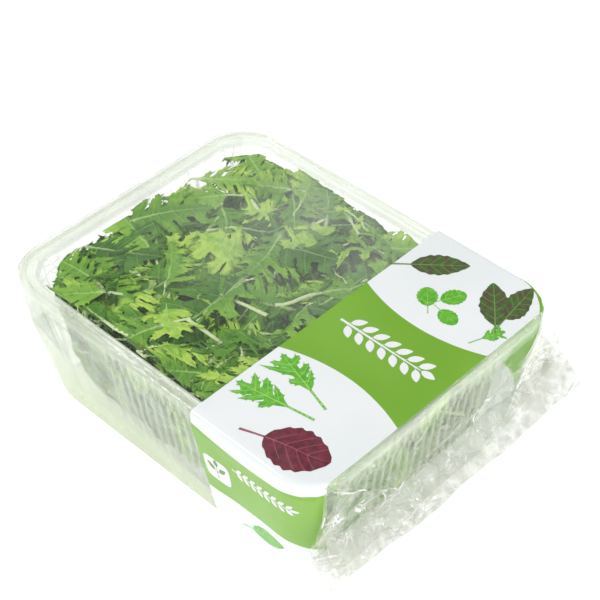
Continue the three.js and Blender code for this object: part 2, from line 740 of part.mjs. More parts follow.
const pack = new THREE.Group();
pack.name = "mizuna_pack";
addNode(pack, "mizuna_leaves", mizunaSolid(), MATERIALS.leaf);
addNode(pack, "tray", traySolid(), MATERIALS.tray);
addNode(pack, "film_wrap", filmSolid(), MATERIALS.film);
const sleeve = bandSleeve();
let whiteBand = sleeve;
for (const [name, field] of Object.entries(GREEN_FIELDS)) {
  whiteBand = whiteBand.subtract(greenPrism(field, FIELD_GAP));
  addNode(pack, name, sleeve.intersect(greenPrism(field, 0)), MATERIALS.green);
}
addNode(pack, "print_white_band", whiteBand, MATERIALS.white);

export default pack;
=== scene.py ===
"""Dresses a retail pack of cut mizuna: loose leaves in a clear ribbed tray, in a clear film wrap with a
crimped seal at each end and a printed green and white band round one half.

Lengths are millimetres until a mesh is made, which turns them into the frame's metres. +Z is up, X runs
along the pack and the origin is on the surface that the pack stands on, under the middle of the tray.
"""

import logging
import math
from dataclasses import dataclass, field
from enum import Enum
from functools import reduce
from typing import Optional, Sequence, Union

import bpy
import numpy as np
from mathutils import Matrix, Vector
from mathutils.geometry import delaunay_2d_cdt


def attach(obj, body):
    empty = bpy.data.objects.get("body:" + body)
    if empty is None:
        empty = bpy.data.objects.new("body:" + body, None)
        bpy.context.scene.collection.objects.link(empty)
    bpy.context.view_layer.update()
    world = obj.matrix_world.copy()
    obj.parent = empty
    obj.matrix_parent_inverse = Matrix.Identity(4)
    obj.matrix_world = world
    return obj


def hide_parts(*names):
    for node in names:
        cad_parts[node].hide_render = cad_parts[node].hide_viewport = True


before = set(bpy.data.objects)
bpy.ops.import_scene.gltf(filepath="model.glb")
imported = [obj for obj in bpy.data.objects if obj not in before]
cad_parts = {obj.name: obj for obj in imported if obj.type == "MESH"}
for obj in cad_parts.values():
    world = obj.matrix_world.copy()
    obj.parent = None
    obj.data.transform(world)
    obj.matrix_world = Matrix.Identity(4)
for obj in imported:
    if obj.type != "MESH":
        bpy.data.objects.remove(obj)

LOG = logging.getLogger("mizuna_pack")
MM = 0.001
BODY = "root"
Array = np.ndarray
Material = bpy.types.Material
Triple = tuple[float, float, float]
Colour = Triple
Span = tuple[float, float]
Row = Sequence[float]
Socket = bpy.types.NodeSocket
Input = Union[float, Colour, Socket]
Number = Union[float, Array]


def smooth(t: Array) -> Array:
    """Eases from 0 to 1, and stays at 0 or 1 outside that range."""
    t = np.clip(t, 0.0, 1.0)
    return t * t * (3 - 2 * t)


def mix(a: Number, b: Number, t: Number) -> Number:
    """The value a share t of the way from a to b."""
    return a + (b - a) * t


def unit(rows: Array) -> Array:
    """The rows scaled to length 1."""
    return rows / np.maximum(np.linalg.norm(rows, axis=-1, keepdims=True), 1e-12)


def signed_power(value: Array, power: float) -> Array:
    """A power that keeps the sign."""
    return np.sign(value) * np.abs(value) ** power


def tent(phase: Array) -> Array:
    """A wave of straight folds between -1 and 1, one fold for each whole number of phase."""
    return 4 * np.abs(phase - np.floor(phase) - 0.5) - 1


def lattice_noise(points: Array, cell: float, seed: int) -> Array:
    """Smooth random values from -1 to 1.

    Args:
        points: the places, one row each, in millimetres.
        cell: the distance over which the values change.
        seed: a whole number that picks the pattern.

    Returns:
        One value for each place.
    """
    scaled = points / cell
    low = np.floor(scaled).astype(np.int64)
    share = smooth(scaled - low)
    total = np.zeros(len(points))
    for corner in range(8):
        step = np.array([corner & 1, corner >> 1 & 1, corner >> 2 & 1])
        at = low + step
        mixed = (at[:, 0] * 73856093) ^ (at[:, 1] * 19349663) ^ (at[:, 2] * 83492791) ^ (seed * 2654435761)
        mixed = (mixed ^ (mixed >> 13)) * 1274126177 & 0xFFFFFFFF
        value = ((mixed ^ (mixed >> 16)) & 0xFFFF) / 32767.5 - 1
        weight = np.prod(np.where(step, share, 1 - share), axis=1)
        total += value * weight
    return total


class DrawStream:
    """The seeded stream of numbers from 0 to 1 that the solids' leaves are laid out with."""

    MASK = 0xFFFFFFFF

    def __init__(self, seed: int) -> None:
        """Starts the stream at a seed."""
        self.state = seed

    def draw(self) -> float:
        """The next number.

        Returns:
            A number from 0 to 1.
        """
        self.state = (self.state + 0x6D2B79F5) & self.MASK
        t = self.state
        t = ((t ^ (t >> 15)) * (1 | t)) & self.MASK
        t = ((t + (((t ^ (t >> 7)) * (61 | t)) & self.MASK)) & self.MASK) ^ t
        return ((t ^ (t >> 14)) & self.MASK) / 4294967296


# Meshes


def table(*columns: Array) -> Array:
    """The columns as one table, with a row for each point."""
    return np.stack(columns, axis=1)


def grid(across: Array, along: Array) -> tuple[Array, Array]:
    """The two coordinates of every point of a grid, row by row."""
    first, second = np.meshgrid(across, along, indexing="ij")
    return first.ravel(), second.ravel()


@dataclass
class Sheet:
    """A surface of points and faces in millimetres, with UV layers that hold one pair for each point."""

    points: Array
    faces: list[tuple[int, ...]]
    uvs: dict[str, Array] = field(default_factory=dict)
    slots: Optional[list[int]] = None

    def normals(self) -> Array:
        """The unit normal at each point, from the faces round it.

        Returns:
            One row for each point.
        """
        total = np.zeros_like(self.points)
        for size in {len(f) for f in self.faces}:
            faces = np.array([f for f in self.faces if len(f) == size])
            corners = self.points[faces]
            across = corners[:, 2] - corners[:, 0]
            other = corners[:, size - 1] - corners[:, 1] if size == 4 else corners[:, 1] - corners[:, 0]
            normal = np.cross(across, other) if size == 4 else np.cross(other, across)
            for k in range(size):
                np.add.at(total, faces[:, k], normal)
        return unit(total)

    def thickened(self, thickness: Number, back_slot: int = 0) -> "Sheet":
        """A closed plate of this sheet, half its thickness to each side.

        Args:
            thickness: one thickness for all, or one for each point.
            back_slot: the material index of the back.

        Returns:
            The plate, with a rim along every open edge.
        """
        count = len(self.points)
        reach = self.normals() * (np.broadcast_to(thickness, (count,)) / 2)[:, None]
        points = np.vstack([self.points + reach, self.points - reach])
        used: dict[tuple[int, int], int] = {}
        for face in self.faces:
            for a, b in zip(face, face[1:] + face[:1]):
                used[(a, b)] = used.get((a, b), 0) + 1
        rim = [(b, a, a + count, b + count) for a, b in used if (b, a) not in used]
        backs = [tuple(i + count for i in reversed(face)) for face in self.faces]
        slots = [0] * len(self.faces) + [back_slot] * len(backs) + [0] * len(rim)
        uvs = {name: np.vstack([uv, uv]) for name, uv in self.uvs.items()}
        return Sheet(points, [*self.faces, *backs, *rim], uvs, slots)


def joined(sheets: Sequence[Sheet]) -> Sheet:
    """Several sheets as one, unjoined to each other.

    Args:
        sheets: those to put together, with the same UV layers.

    Returns:
        The one sheet.
    """
    faces, slots, start = [], [], 0
    for sheet in sheets:
        faces += [tuple(i + start for i in face) for face in sheet.faces]
        slots += sheet.slots or [0] * len(sheet.faces)
        start += len(sheet.points)
    names = sheets[0].uvs
    uvs = {name: np.vstack([sheet.uvs[name] for sheet in sheets]) for name in names}
    return Sheet(np.vstack([sheet.points for sheet in sheets]), faces, uvs, slots)


def grid_faces(rows: int, columns: int, closed: bool = False) -> list[tuple[int, ...]]:
    """The four-sided faces of a grid of points, which may close across its columns.

    Args:
        rows: how many rows of points.
        columns: how many points in a row.
        closed: whether each row's end joins its start.

    Returns:
        The faces, as rows of point numbers.
    """
    wide = columns if closed else columns - 1
    faces = []
    for i in range(rows - 1):
        for k in range(wide):
            a, b = i * columns + k, i * columns + (k + 1) % columns
            faces.append((a, b, b + columns, a + columns))
    return faces


def added(name: str, data: bpy.types.ID) -> bpy.types.Object:
    """A new object in the scene.

    Args:
        name: its name.
        data: its mesh, lamp or camera.

    Returns:
        The object.
    """
    made = bpy.data.objects.new(name, data)
    bpy.context.scene.collection.objects.link(made)
    return made


def make_piece(
    name: str, sheet: Sheet, finishes: Sequence[Material], crisp: bool = True
) -> bpy.types.Object:
    """A smooth-shaded mesh object in the frame, riding on the pack's body.

    Args:
        name: the object's name.
        sheet: its closed surface, in millimetres.
        finishes: its materials, in the order of the sheet's slots.
        crisp: whether its steep edges stay sharp in the shading.

    Returns:
        The object.
    """
    mesh = bpy.data.meshes.new(name)
    mesh.from_pydata((sheet.points * MM).tolist(), [], sheet.faces)
    if sheet.slots:
        mesh.polygons.foreach_set("material_index", np.array(sheet.slots, dtype=np.int32))
    corners = np.empty(len(mesh.loops), dtype=np.int32)
    mesh.loops.foreach_get("vertex_index", corners)
    for layer, pairs in sheet.uvs.items():
        mesh.uv_layers.new(name=layer).data.foreach_set("uv", pairs[corners].astype(np.float32).ravel())
    mesh.polygons.foreach_set("use_smooth", np.ones(len(mesh.polygons), dtype=bool))
    if crisp:
        mesh.set_sharp_from_angle(angle=1.0)
    for finish in finishes:
        mesh.materials.append(finish)
    mesh.update()
    piece = added(name, mesh)
    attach(piece, BODY)
    LOG.info("%s: %d faces", name, len(sheet.faces))
    return piece


# Finishes


class Wiring:
    """A material's nodes, with a short call for each kind that the finishes use."""

    def __init__(self, name: str) -> None:
        """Makes the material with one shader, joined to the output, and the place on the object, in metres.

        Args:
            name: the material's name.
        """
        self.material = bpy.data.materials.new(name)
        self.material.use_nodes = True
        self.tree = self.material.node_tree
        self.tree.nodes.clear()
        self.place: Socket = self.node("ShaderNodeTexCoord", {}).outputs["Object"]
        self.shader = self.node("ShaderNodeBsdfPrincipled", {})
        self.node("ShaderNodeOutputMaterial", {"Surface": self.shader.outputs["BSDF"]})

    def put(self, socket: Socket, value: Input) -> None:
        """Joins a socket to another, or sets its own value.

        Args:
            socket: the input.
            value: another node's output, a number or a colour.
        """
        if isinstance(value, Socket):
            self.tree.links.new(value, socket)
        elif isinstance(value, tuple) and len(socket.default_value) == 4:
            socket.default_value = (*value, 1.0)
        else:
            socket.default_value = value

    def node(self, kind: str, given: dict[Union[int, str], Input], **settings: object) -> bpy.types.Node:
        """A new node.

        Args:
            kind: Blender's name for its kind.
            given: what goes into its inputs, by number or name.
            settings: its properties.

        Returns:
            The node.
        """
        node = self.tree.nodes.new(kind)
        for key, value in settings.items():
            setattr(node, key, value)
        for key, value in given.items():
            self.put(node.inputs[key], value)
        return node

    def shade(self, **values: Input) -> None:
        """Sets the shader's inputs by name, with _ for each space."""
        for key, value in values.items():
            self.put(self.shader.inputs[key.replace("_", " ")], value)

    def axes(self, vector: Optional[Socket] = None) -> Sequence[Socket]:
        """The X, Y and Z of a vector, or of the place."""
        return self.node("ShaderNodeSeparateXYZ", {0: vector or self.place}).outputs

    def pair(self, layer: str) -> Sequence[Socket]:
        """The two values of a UV layer."""
        return self.axes(self.node("ShaderNodeUVMap", {}, uv_map=layer).outputs[0])[:2]

    def maths(self, kind: str, *values: Input) -> Socket:
        """One sum on numbers."""
        return self.node("ShaderNodeMath", dict(enumerate(values)), operation=kind).outputs[0]

    def times(self, *values: Input) -> Socket:
        """The values multiplied."""
        return reduce(lambda a, b: self.maths("MULTIPLY", a, b), values)

    def plus(self, *values: Input) -> Socket:
        """The values added."""
        return reduce(lambda a, b: self.maths("ADD", a, b), values)

    def between(self, value: Input, low: float, high: float, start: float = 0.0, end: float = 1.0) -> Socket:
        """A value brought from the range low to high into start to end, eased."""
        given = dict(enumerate((value, low, high, start, end)))
        return self.node("ShaderNodeMapRange", given, interpolation_type="SMOOTHSTEP").outputs[0]

    def noise(
        self, scale: float, detail: float = 3.0, warp: float = 0.0, squash: Optional[Triple] = None
    ) -> Socket:
        """Soft random values over the place.

        Args:
            scale: how close together they change.
            detail: how many finer layers they have.
            warp: how far they are bent.
            squash: what each axis of the place is multiplied by.

        Returns:
            The values, from 0 to 1.
        """
        vector = self.place
        if squash:
            given = {0: vector, 1: squash}
            vector = self.node("ShaderNodeVectorMath", given, operation="MULTIPLY").outputs[0]
        given = {"Vector": vector, "Scale": scale, "Detail": detail, "Distortion": warp}
        return self.node("ShaderNodeTexNoise", given).outputs[0]

    def cracks(self, vector: Socket, scale: float) -> Socket:
        """The distance to the nearest line of an irregular net, in cells."""
        given = {"Vector": vector, "Scale": scale}
        return self.node("ShaderNodeTexVoronoi", given, feature="DISTANCE_TO_EDGE").outputs["Distance"]

    def blend(self, share: Input, a: Input, b: Input) -> Socket:
        """A colour a share of the way from a to b."""
        return self.node("ShaderNodeMix", {0: share, 6: a, 7: b}, data_type="RGBA").outputs[2]

    def ramp(self, share: Input, stops: Sequence[tuple[float, Colour]]) -> Socket:
        """A colour from a row of stops.

        Args:
            share: the place along the row.
            stops: each stop's place and colour.

        Returns:
            The colour.
        """
        node = self.node("ShaderNodeValToRGB", {0: share})
        elements = node.color_ramp.elements
        while len(elements) < len(stops):
            elements.new(0.5)
        for element, (place, colour) in zip(elements, stops):
            element.position, element.color = place, (*colour, 1.0)
        return node.outputs[0]

    def bump(self, height: Input, depth_mm: float, strength: float = 1.0) -> None:
        """Raises the surface by a height from 0 to 1."""
        given = {"Strength": strength, "Distance": depth_mm * MM, "Height": height}
        self.shade(Normal=self.node("ShaderNodeBump", given).outputs[0])


@dataclass(frozen=True)
class LeafFinish:
    """Fresh leaf: a tone for each leaf, a pale rib, thin side veins and a matt, slightly puckered face."""

    name: str
    tones: tuple[tuple[float, Colour], ...]
    rib: Colour = (0.42, 0.62, 0.22)
    vein: Colour = (0.29, 0.52, 0.13)
    veining: float = 0.3
    roughness: float = 0.46

    def build(self) -> Material:
        """The material.

        Returns:
            The material.
        """
        w = Wiring(self.name)
        from_rib, from_vein = w.pair("veins")
        tone, along = w.pair("tone")
        mottle = w.noise(260.0, 4.0, 0.6)
        fine = w.noise(1400.0, 2.0)
        outer = w.between(from_rib, 3.0, 18.0, -0.05, 0.12)
        shade = w.plus(tone, outer, w.times(w.plus(mottle, -0.5), 0.4))
        blade = w.ramp(shade, self.tones)
        side = w.between(from_vein, 0.08, 0.55, self.veining, 0.0)
        veined = w.blend(side, blade, self.vein)
        rib = w.times(w.between(from_rib, 0.3, 1.1, 1.0, 0.0), w.between(along, 0.3, 0.95, 0.85, 0.3))
        ribbed = w.blend(rib, veined, self.rib)
        stem = w.times(w.between(along, 0.2, 0.36, 1.0, 0.0), w.between(from_rib, 1.4, 2.2, 1.0, 0.0))
        w.shade(
            Base_Color=w.blend(stem, ribbed, (0.66, 0.78, 0.44)),
            Roughness=w.between(fine, 0.3, 0.7, self.roughness - 0.08, self.roughness + 0.12),
            IOR=1.4,
            Specular_IOR_Level=0.35,
        )
        relief = w.plus(w.between(from_vein, 0.0, 1.4, 0.3, 0.0), mottle)
        w.bump(relief, 1.3, 1.0)
        return w.material


@dataclass(frozen=True)
class ShadeMassFinish:
    """The dim mass of leaves that shows between the ones on the outside: its dark greens are painted shade
    for the depths of the heap.
    """

    name: str = "painted_shade_leaf_mass"

    def build(self) -> Material:
        """The material.

        Returns:
            The material.
        """
        w = Wiring(self.name)
        patches = w.noise(90.0, 5.0, 1.2)
        # painted shade: near-black greens for the shadowed gaps deep in the heap
        stops = ((0.3, (0.010, 0.030, 0.006)), (0.5, (0.030, 0.085, 0.014)), (0.72, (0.075, 0.19, 0.028)))
        w.shade(Base_Color=w.ramp(patches, stops), Roughness=0.7)
        w.bump(patches, 3.0)
        return w.material


@dataclass(frozen=True)
class ClearFinish:
    """Clear plastic sheet: see-through face on, paler and whiter at a slant as a painted reflection, with
    fine handling marks.
    """

    name: str
    tint: Colour
    clear: float
    slant_reflection: float
    roughness: float
    marks: float
    mark_depth: float
    haze: float = 0.0
    crease_glints: float = 0.0
    double: float = 0.0
    loose: float = 0.0
    ribs: float = 0.0
    rim: float = 0.0
    fold_lines: tuple[Span, ...] = ()

    def build(self) -> Material:
        """The material.

        Returns:
            The material.
        """
        w = Wiring(self.name)
        # painted reflection: more white cover where the sheet is seen at a slant
        slant = w.node("ShaderNodeLayerWeight", {"Blend": 0.35})
        body = w.between(slant.outputs["Facing"], 0.25, 1.0, self.clear, self.slant_reflection)
        marks = w.noise(self.marks, 2.5, 0.6)
        body = w.times(body, w.between(marks, 0.3, 0.75, 0.75, 1.35))
        if self.haze:
            body = w.plus(body, self.condensation(w))
        colour: Input = self.tint
        glinting_folds: Input = self.crease_glints
        fold: Input = 0.0
        if self.fold_lines:
            below, fold = self.folded_over(w)
            glinting_folds = w.between(below, 0.0, 1.0, 0.3 * self.crease_glints, self.crease_glints)
            body = w.plus(body, w.times(below, self.double, w.between(marks, 0.35, 0.7, 0.4, 1.5)))
        if self.loose:
            milky = self.stood_off_green_glow(w)
            body = w.maths("MULTIPLY_ADD", milky, self.loose, body)
            # painted light: the stood-off sleeve tinted green as if lit by the leaves through it
            colour = w.blend(milky, colour, (0.74, 0.82, 0.58))
        # painted highlights: the tray's ribs drawn as whiter stripes
        if self.ribs:
            body = w.plus(body, self.rib_glint_stripes(w))
        if self.rim:
            body = w.plus(body, w.between(w.axes()[2], 0.0775, 0.081, 0.0, self.rim))
        height: Input = marks
        # painted glints: white, nearly opaque lines along the creases and along the fold line
        if self.crease_glints:
            line, folds = self.glinting_folds(w)
            line = w.maths("MAXIMUM", w.times(line, glinting_folds), fold)
            body = w.maths("MAXIMUM", body, line)
            colour = w.blend(line, colour, (1.0, 1.0, 1.0))
            height = w.maths("MULTIPLY_ADD", folds, glinting_folds, marks)
        w.shade(
            Base_Color=colour,
            Roughness=w.between(marks, 0.35, 0.8, self.roughness * 0.6, self.roughness * 1.7),
            IOR=1.5,
            Specular_IOR_Level=1.0,
            Alpha=w.maths("MINIMUM", body, 0.95),
        )
        w.bump(height, self.mark_depth, 0.8)
        return w.material

    def condensation(self, w: Wiring) -> Socket:
        """The fine mist inside the top of the wrap, thickest towards the back, in soft patches.

        Args:
            w: the material's nodes.

        Returns:
            How much it adds to the film's alpha.
        """
        x, y, z = w.axes()
        top = w.between(z, 0.0825, 0.0845)
        back = w.between(y, -0.06, 0.05)
        middle = w.between(w.maths("ABSOLUTE", w.plus(x, 0.02)), 0.02, 0.10, 1.0, 0.15)
        patches = w.between(w.noise(22.0, 1.5, 0.2), 0.25, 0.75, 0.25, 1.0)
        return w.times(back, middle, top, patches, self.haze)

    def stood_off_green_glow(self, w: Wiring) -> Socket:
        """Where the sleeve stands off a long wall, below a slanting line: it looks milky there, and its green
        tint is painted light from the leaves behind.

        Args:
            w: the material's nodes.

        Returns:
            A share from 0 to 1.
        """
        x, _, z = w.axes()
        drift = w.noise(14.0, 1.5)
        line = w.plus(w.times(x, -0.31), w.maths("MULTIPLY_ADD", drift, 0.016, 0.020))
        under = w.between(w.maths("SUBTRACT", line, z), -0.002, 0.007)
        return w.times(under, w.between(z, 0.0, 0.06, 1.0, 0.55))

    def rib_glint_stripes(self, w: Wiring) -> Socket:
        """Painted highlights on the tray's upright ribs, 6 mm apart on all four walls: whiter stripes where
        the ribs' flanks would catch the light.

        Args:
            w: the material's nodes.

        Returns:
            How much they add to the plastic's alpha.
        """
        x, y, z = w.axes()
        high = w.times(w.between(z, 0.008, 0.012), w.between(z, 0.069, 0.072, 1.0, 0.0))
        total = None
        for along, over, wall in ((x, y, 0.069), (y, x, 0.093)):
            phase = w.maths("FRACT", w.plus(w.maths("DIVIDE", along, 0.006), 100.5))
            gap = w.maths("ABSOLUTE", w.maths("SUBTRACT", phase, 0.5))
            stripe = w.between(gap, 0.07, 0.22, 1.0, 0.0)
            near = w.between(w.maths("ABSOLUTE", along), 0.0435, 0.0445, 1.0, 0.0)
            on_wall = w.between(w.maths("ABSOLUTE", over), wall, wall + 0.001)
            part = w.times(stripe, near, on_wall, high)
            total = part if total is None else w.maths("MAXIMUM", total, part)
        return w.times(total, self.ribs)

    def glinting_folds(self, w: Wiring) -> tuple[Socket, Socket]:
        """Sharp folds of crushed film: thin white lines along them as painted glints, which come and go, and
        their relief.

        Args:
            w: the material's nodes.

        Returns:
            The painted glint lines from 0 to 1, and the relief's height.
        """
        drift = w.node("ShaderNodeTexNoise", {"Vector": w.place, "Scale": 50.0, "Detail": 0.0})
        given = {0: drift.outputs["Color"], 1: (0.008, 0.008, 0.008), 2: w.place}
        bent = w.node("ShaderNodeVectorMath", given, operation="MULTIPLY_ADD").outputs[0]
        shown = w.noise(75.0, 2.0)
        wide, fine = w.cracks(bent, 55.0), w.cracks(bent, 140.0)
        first = w.times(w.between(wide, 0.0, 0.032, 1.0, 0.0), w.between(shown, 0.46, 0.58))
        second = w.times(w.between(fine, 0.0, 0.05, 1.0, 0.0), w.between(shown, 0.5, 0.62))
        folds = w.plus(w.times(wide, 3.4), w.times(fine, 1.4))
        return w.maths("MAXIMUM", first, second), folds

    def folded_over(self, w: Wiring) -> tuple[Socket, Socket]:
        """Where an end's film lies double, below the fold from its upper corners, and that fold's line, which
        is drawn white as a painted highlight.

        Args:
            w: the material's nodes.

        Returns:
            The double part and the line, both from 0 to 1.
        """
        _, y, z = w.axes()
        edge = None
        for slope, start in self.fold_lines:
            line = w.maths("MULTIPLY_ADD", y, slope, start / 1000)
            edge = line if edge is None else w.maths("MAXIMUM", edge, line)
        drift = w.noise(60.0, 2.0)
        under = w.maths("SUBTRACT", w.maths("MULTIPLY_ADD", drift, 0.008, edge), w.plus(z, 0.004))
        line = w.between(w.maths("ABSOLUTE", under), 0.0002, 0.0008, 1.0, 0.0)
        return w.between(under, -0.0004, 0.0006), w.times(line, w.between(drift, 0.4, 0.55, 0.25, 0.9))


@dataclass(frozen=True)
class InkFinish:
    """Print on film: an even ink with a faint drift in tone and the film's soft gloss and creases."""

    name: str
    colour: Colour
    other: Colour
    roughness: float = 0.32
    glow: float = 0.0

    def build(self) -> Material:
        """The material.

        Returns:
            The material.
        """
        w = Wiring(self.name)
        drift = w.noise(16.0, 2.0)
        crease = w.noise(120.0, 3.0, 1.5, (1.0, 0.45, 1.0))
        w.shade(
            Base_Color=w.blend(w.between(drift, 0.3, 0.7), self.colour, self.other),
            Roughness=self.roughness,
            IOR=1.5,
            Specular_IOR_Level=0.3,
        )
        # painted light: the ink glows in its own colour, standing in for light that passes through the film
        if self.glow:
            w.shade(Emission_Color=self.colour, Emission_Strength=self.glow)
        w.bump(crease, 0.25, 0.5)
        return w.material


@dataclass(frozen=True)
class PictureFinish:
    """A printed picture of a leaf: its blade colour shades to a second one, with pale veins."""

    name: str
    blade: Colour
    edge: Colour
    vein: Colour

    def build(self) -> Material:
        """The material.

        Returns:
            The material.
        """
        w = Wiring(self.name)
        from_rib, from_vein = w.pair("veins")
        blotch = w.noise(330.0, 3.0, 0.5)
        blade = w.blend(w.between(blotch, 0.32, 0.68), self.blade, self.edge)
        veined = w.blend(w.between(from_vein, 0.08, 0.55, 0.6, 0.0), blade, self.vein)
        w.shade(
            Base_Color=w.blend(w.between(from_rib, 0.35, 0.8, 0.9, 0.0), veined, self.vein),
            Roughness=0.34,
        )
        return w.material


@dataclass(frozen=True)
class FloorFinish:
    """A plain white studio table, softly lit from beneath, with a very faint unevenness."""

    name: str = "studio_floor"
    colour: Colour = (0.92, 0.92, 0.92)
    glow: float = 0.42

    def build(self) -> Material:
        """The material.

        Returns:
            The material.
        """
        w = Wiring(self.name)
        drift = w.noise(3.0, 2.0)
        w.shade(
            Base_Color=self.colour, Roughness=w.between(drift, 0.2, 0.8, 0.82, 0.95),
            Emission_Color=(1.0, 1.0, 1.0), Emission_Strength=self.glow,
        )
        return w.material


# Wrap


@dataclass(frozen=True)
class WrapShape:
    """The outer face of the pack: an upright-sided lip over walls that lean in to a smaller base.

    A place on it has a station, which is how far along X its top lies, and a girth, the distance round
    the pack from the middle of the top, positive on the +Y side.
    """

    half_length: float = 113.5
    half_width: float = 89.0
    height: float = 85.0
    half_base_length: float = 101.5
    half_base_width: float = 77.0
    rim_corner: float = 26.0
    base_corner: float = 22.0
    lip_z: float = 74.0
    top_fillet: float = 3.0
    base_fillet: float = 5.0
    band_start: float = 32.0
    steady: float = 40.0
    pulled_to: Span = (112.0, 88.0)
    pulls_from: Span = (118.0, 94.0)

    @property
    def marks(self) -> tuple[float, float, float, float, float]:
        """The girths where the top, its fillet, the lip, the wall and the base's fillet end.

        Returns:
            The five girths, in that order.
        """
        top = self.half_width - self.top_fillet
        fillet = top + self.top_fillet * math.pi / 2
        lip = fillet + self.height - self.top_fillet - self.lip_z
        wall = lip + math.hypot(self.half_width - self.half_base_width, self.lip_z - self.base_fillet)
        return top, fillet, lip, wall, wall + self.base_fillet * math.pi / 2

    @property
    def full(self) -> float:
        """The girth of the middle of the base."""
        return self.marks[4] + self.half_base_width - self.base_fillet

    def girth_at(self, z: float) -> float:
        """The girth of the wall at a height."""
        lip, wall = self.marks[2], self.marks[3]
        return lip + (wall - lip) * (self.lip_z - z) / (self.lip_z - self.base_fillet)

    def station_of(self, angle: float) -> float:
        """The station of a turn round the corner at the pack's end, in radians from its start."""
        return self.half_length - self.rim_corner * (1 - math.sin(angle))

    def places(self, station: Array, girth: Array) -> Array:
        """Points on the face.

        Args:
            station: how far along X the top lies.
            girth: the distance round from the middle of the top.

        Returns:
            One row of X, Y and Z for each.
        """
        corner = self.half_length - self.rim_corner
        base_corner = self.half_base_length - self.base_corner
        turn = np.arcsin(np.clip((np.abs(station) - corner) / self.rim_corner, 0, 1))
        spread = np.cos(turn)
        half_top = self.half_width - self.rim_corner * (1 - spread)
        half_base = self.half_base_width - self.base_corner * (1 - spread)
        kept = self.band_start
        inner_base = np.interp(station, [-corner, kept, corner], [-base_corner, kept, base_corner])
        base_x = inner_base + np.sign(station) * self.base_corner * np.sin(turn)
        top, fillet, lip, wall, under = self.marks
        g = np.abs(girth)
        level = half_top - self.top_fillet
        squash = (level - self.steady) / (top - self.steady)
        over, beneath = (g - top) / self.top_fillet, (g - wall) / self.base_fillet
        share = (g - lip) / (wall - lip)
        parts = [g < self.steady, g <= top, g <= fillet, g <= lip, g <= wall, g <= under]
        y = np.select(parts, [
            g, self.steady + (g - self.steady) * squash, level + self.top_fillet * np.sin(over), half_top,
            mix(half_top, half_base, share), half_base - self.base_fillet * (1 - np.cos(beneath)),
        ], (half_base - self.base_fillet) * (self.full - g) / (self.full - under))
        z = np.select(parts[1:], [
            self.height, self.height - self.top_fillet * (1 - np.cos(over)),
            self.height - self.top_fillet - (g - fillet), mix(self.lip_z, self.base_fillet, share),
            self.base_fillet * (1 - np.sin(beneath)),
        ], 0.0)
        x = mix(base_x, station, np.clip(z / self.lip_z, 0, 1))
        return table(x, np.sign(girth) * y, z)

    def draped(self, station: Array, girth: Array, lift: float) -> Array:
        """Points that stand off the face by a lift, with the soft waves and pulls of drawn film.

        Args:
            station: how far along X the top lies.
            girth: the distance round from the middle of the top.
            lift: how far off the face, in millimetres.

        Returns:
            One row of X, Y and Z for each.
        """
        step = 0.5
        girth = np.where(np.abs(girth) < 1e-6, 1e-6, girth)
        at = self.places(station, girth)
        along = self.places(np.minimum(station + step, self.half_length - 0.01), girth) - at
        round_it = self.places(station, np.clip(girth + step, -self.full, self.full)) - at
        back = np.abs(girth) > self.full - step
        round_it = np.where(back[:, None], at - self.places(station, girth - step * np.sign(girth)), round_it)
        round_it = np.where((back & (girth < 0))[:, None], -round_it, round_it)
        out = unit(np.cross(along, round_it))
        wave = self.waves(at)
        return at + out * (lift + wave)[:, None]

    def waves(self, at: Array) -> Array:
        """How far the drawn film stands off its plain form at each place: waves, and pulls to the corners.

        Args:
            at: the places, one row each.

        Returns:
            One distance for each.
        """
        soft = 0.28 * lattice_noise(at * (1, 0.6, 1), 34, 3) + 0.12 * lattice_noise(at * (0.7, 1, 1), 11, 4)
        x, y = np.abs(at[:, 0]), np.abs(at[:, 1])
        corner = np.hypot(x - self.pulled_to[0], y - self.pulled_to[1])
        near = np.exp(-((corner / 30) ** 2))
        drop = 0.25 * (at[:, 2] - self.height)
        spokes = np.arctan2(x - self.pulls_from[0], y - self.pulls_from[1] + drop)
        pulls = 0.16 * near * np.sin(spokes * 17 + 3 * lattice_noise(at, 24, 5))
        wall = 0.5 * smooth((78 - at[:, 2]) / 30) * smooth(at[:, 2] / 14)
        ripple = wall * lattice_noise(at * (1, 1, 0.35), 13, 6)
        return (soft + pulls + ripple) * smooth(at[:, 2] / 6) - 0.3


WRAP = WrapShape()


class SealStand(Enum):
    """How a crimped end seal lies."""

    OUT = "stands out from the end"
    FOLDED = "is folded down on the end"


@dataclass(frozen=True)
class Seal:
    """One crimped end seal and the film that is drawn to it."""

    side: int
    stand: SealStand
    crease: Span
    edge: Span
    half: float
    ripple: float
    ears: tuple[Span, Span]
    webs: tuple[Span, Span]
    seed: int
    folds: float
    gusset_folds: float

    def places(self, share: Array, u: Array, layer: float) -> Array:
        """Points of the seal.

        Args:
            share: 0 at the crease and 1 at the crimped edge.
            u: across the pack, from -1 to 1.
            layer: which of the two films, from -1 for the lower one to 1.

        Returns:
            One row of X, Y and Z for each.
        """
        ears = np.array(self.ears)[(u >= 0).astype(int)]
        webs = np.array(self.webs)[(u >= 0).astype(int)]
        lift = np.abs(u) ** 3 * share
        web = np.abs(u) ** 5 * (1 - share)
        x = mix(self.crease[0], self.edge[0], share) + ears[:, 0] * lift + webs[:, 0] * web
        wave = self.ripple * share * np.sin(9 * u + 1) + 0.5 * share * np.sin(23 * u + 2.2)
        z = mix(self.crease[1], self.edge[1], share) + ears[:, 1] * lift + webs[:, 1] * web + wave
        y = u * self.half
        offset = 0.16 * layer
        if self.stand is SealStand.FOLDED:
            return table(self.side * (x + offset), y, z)
        return table(self.side * x, y, z + offset)


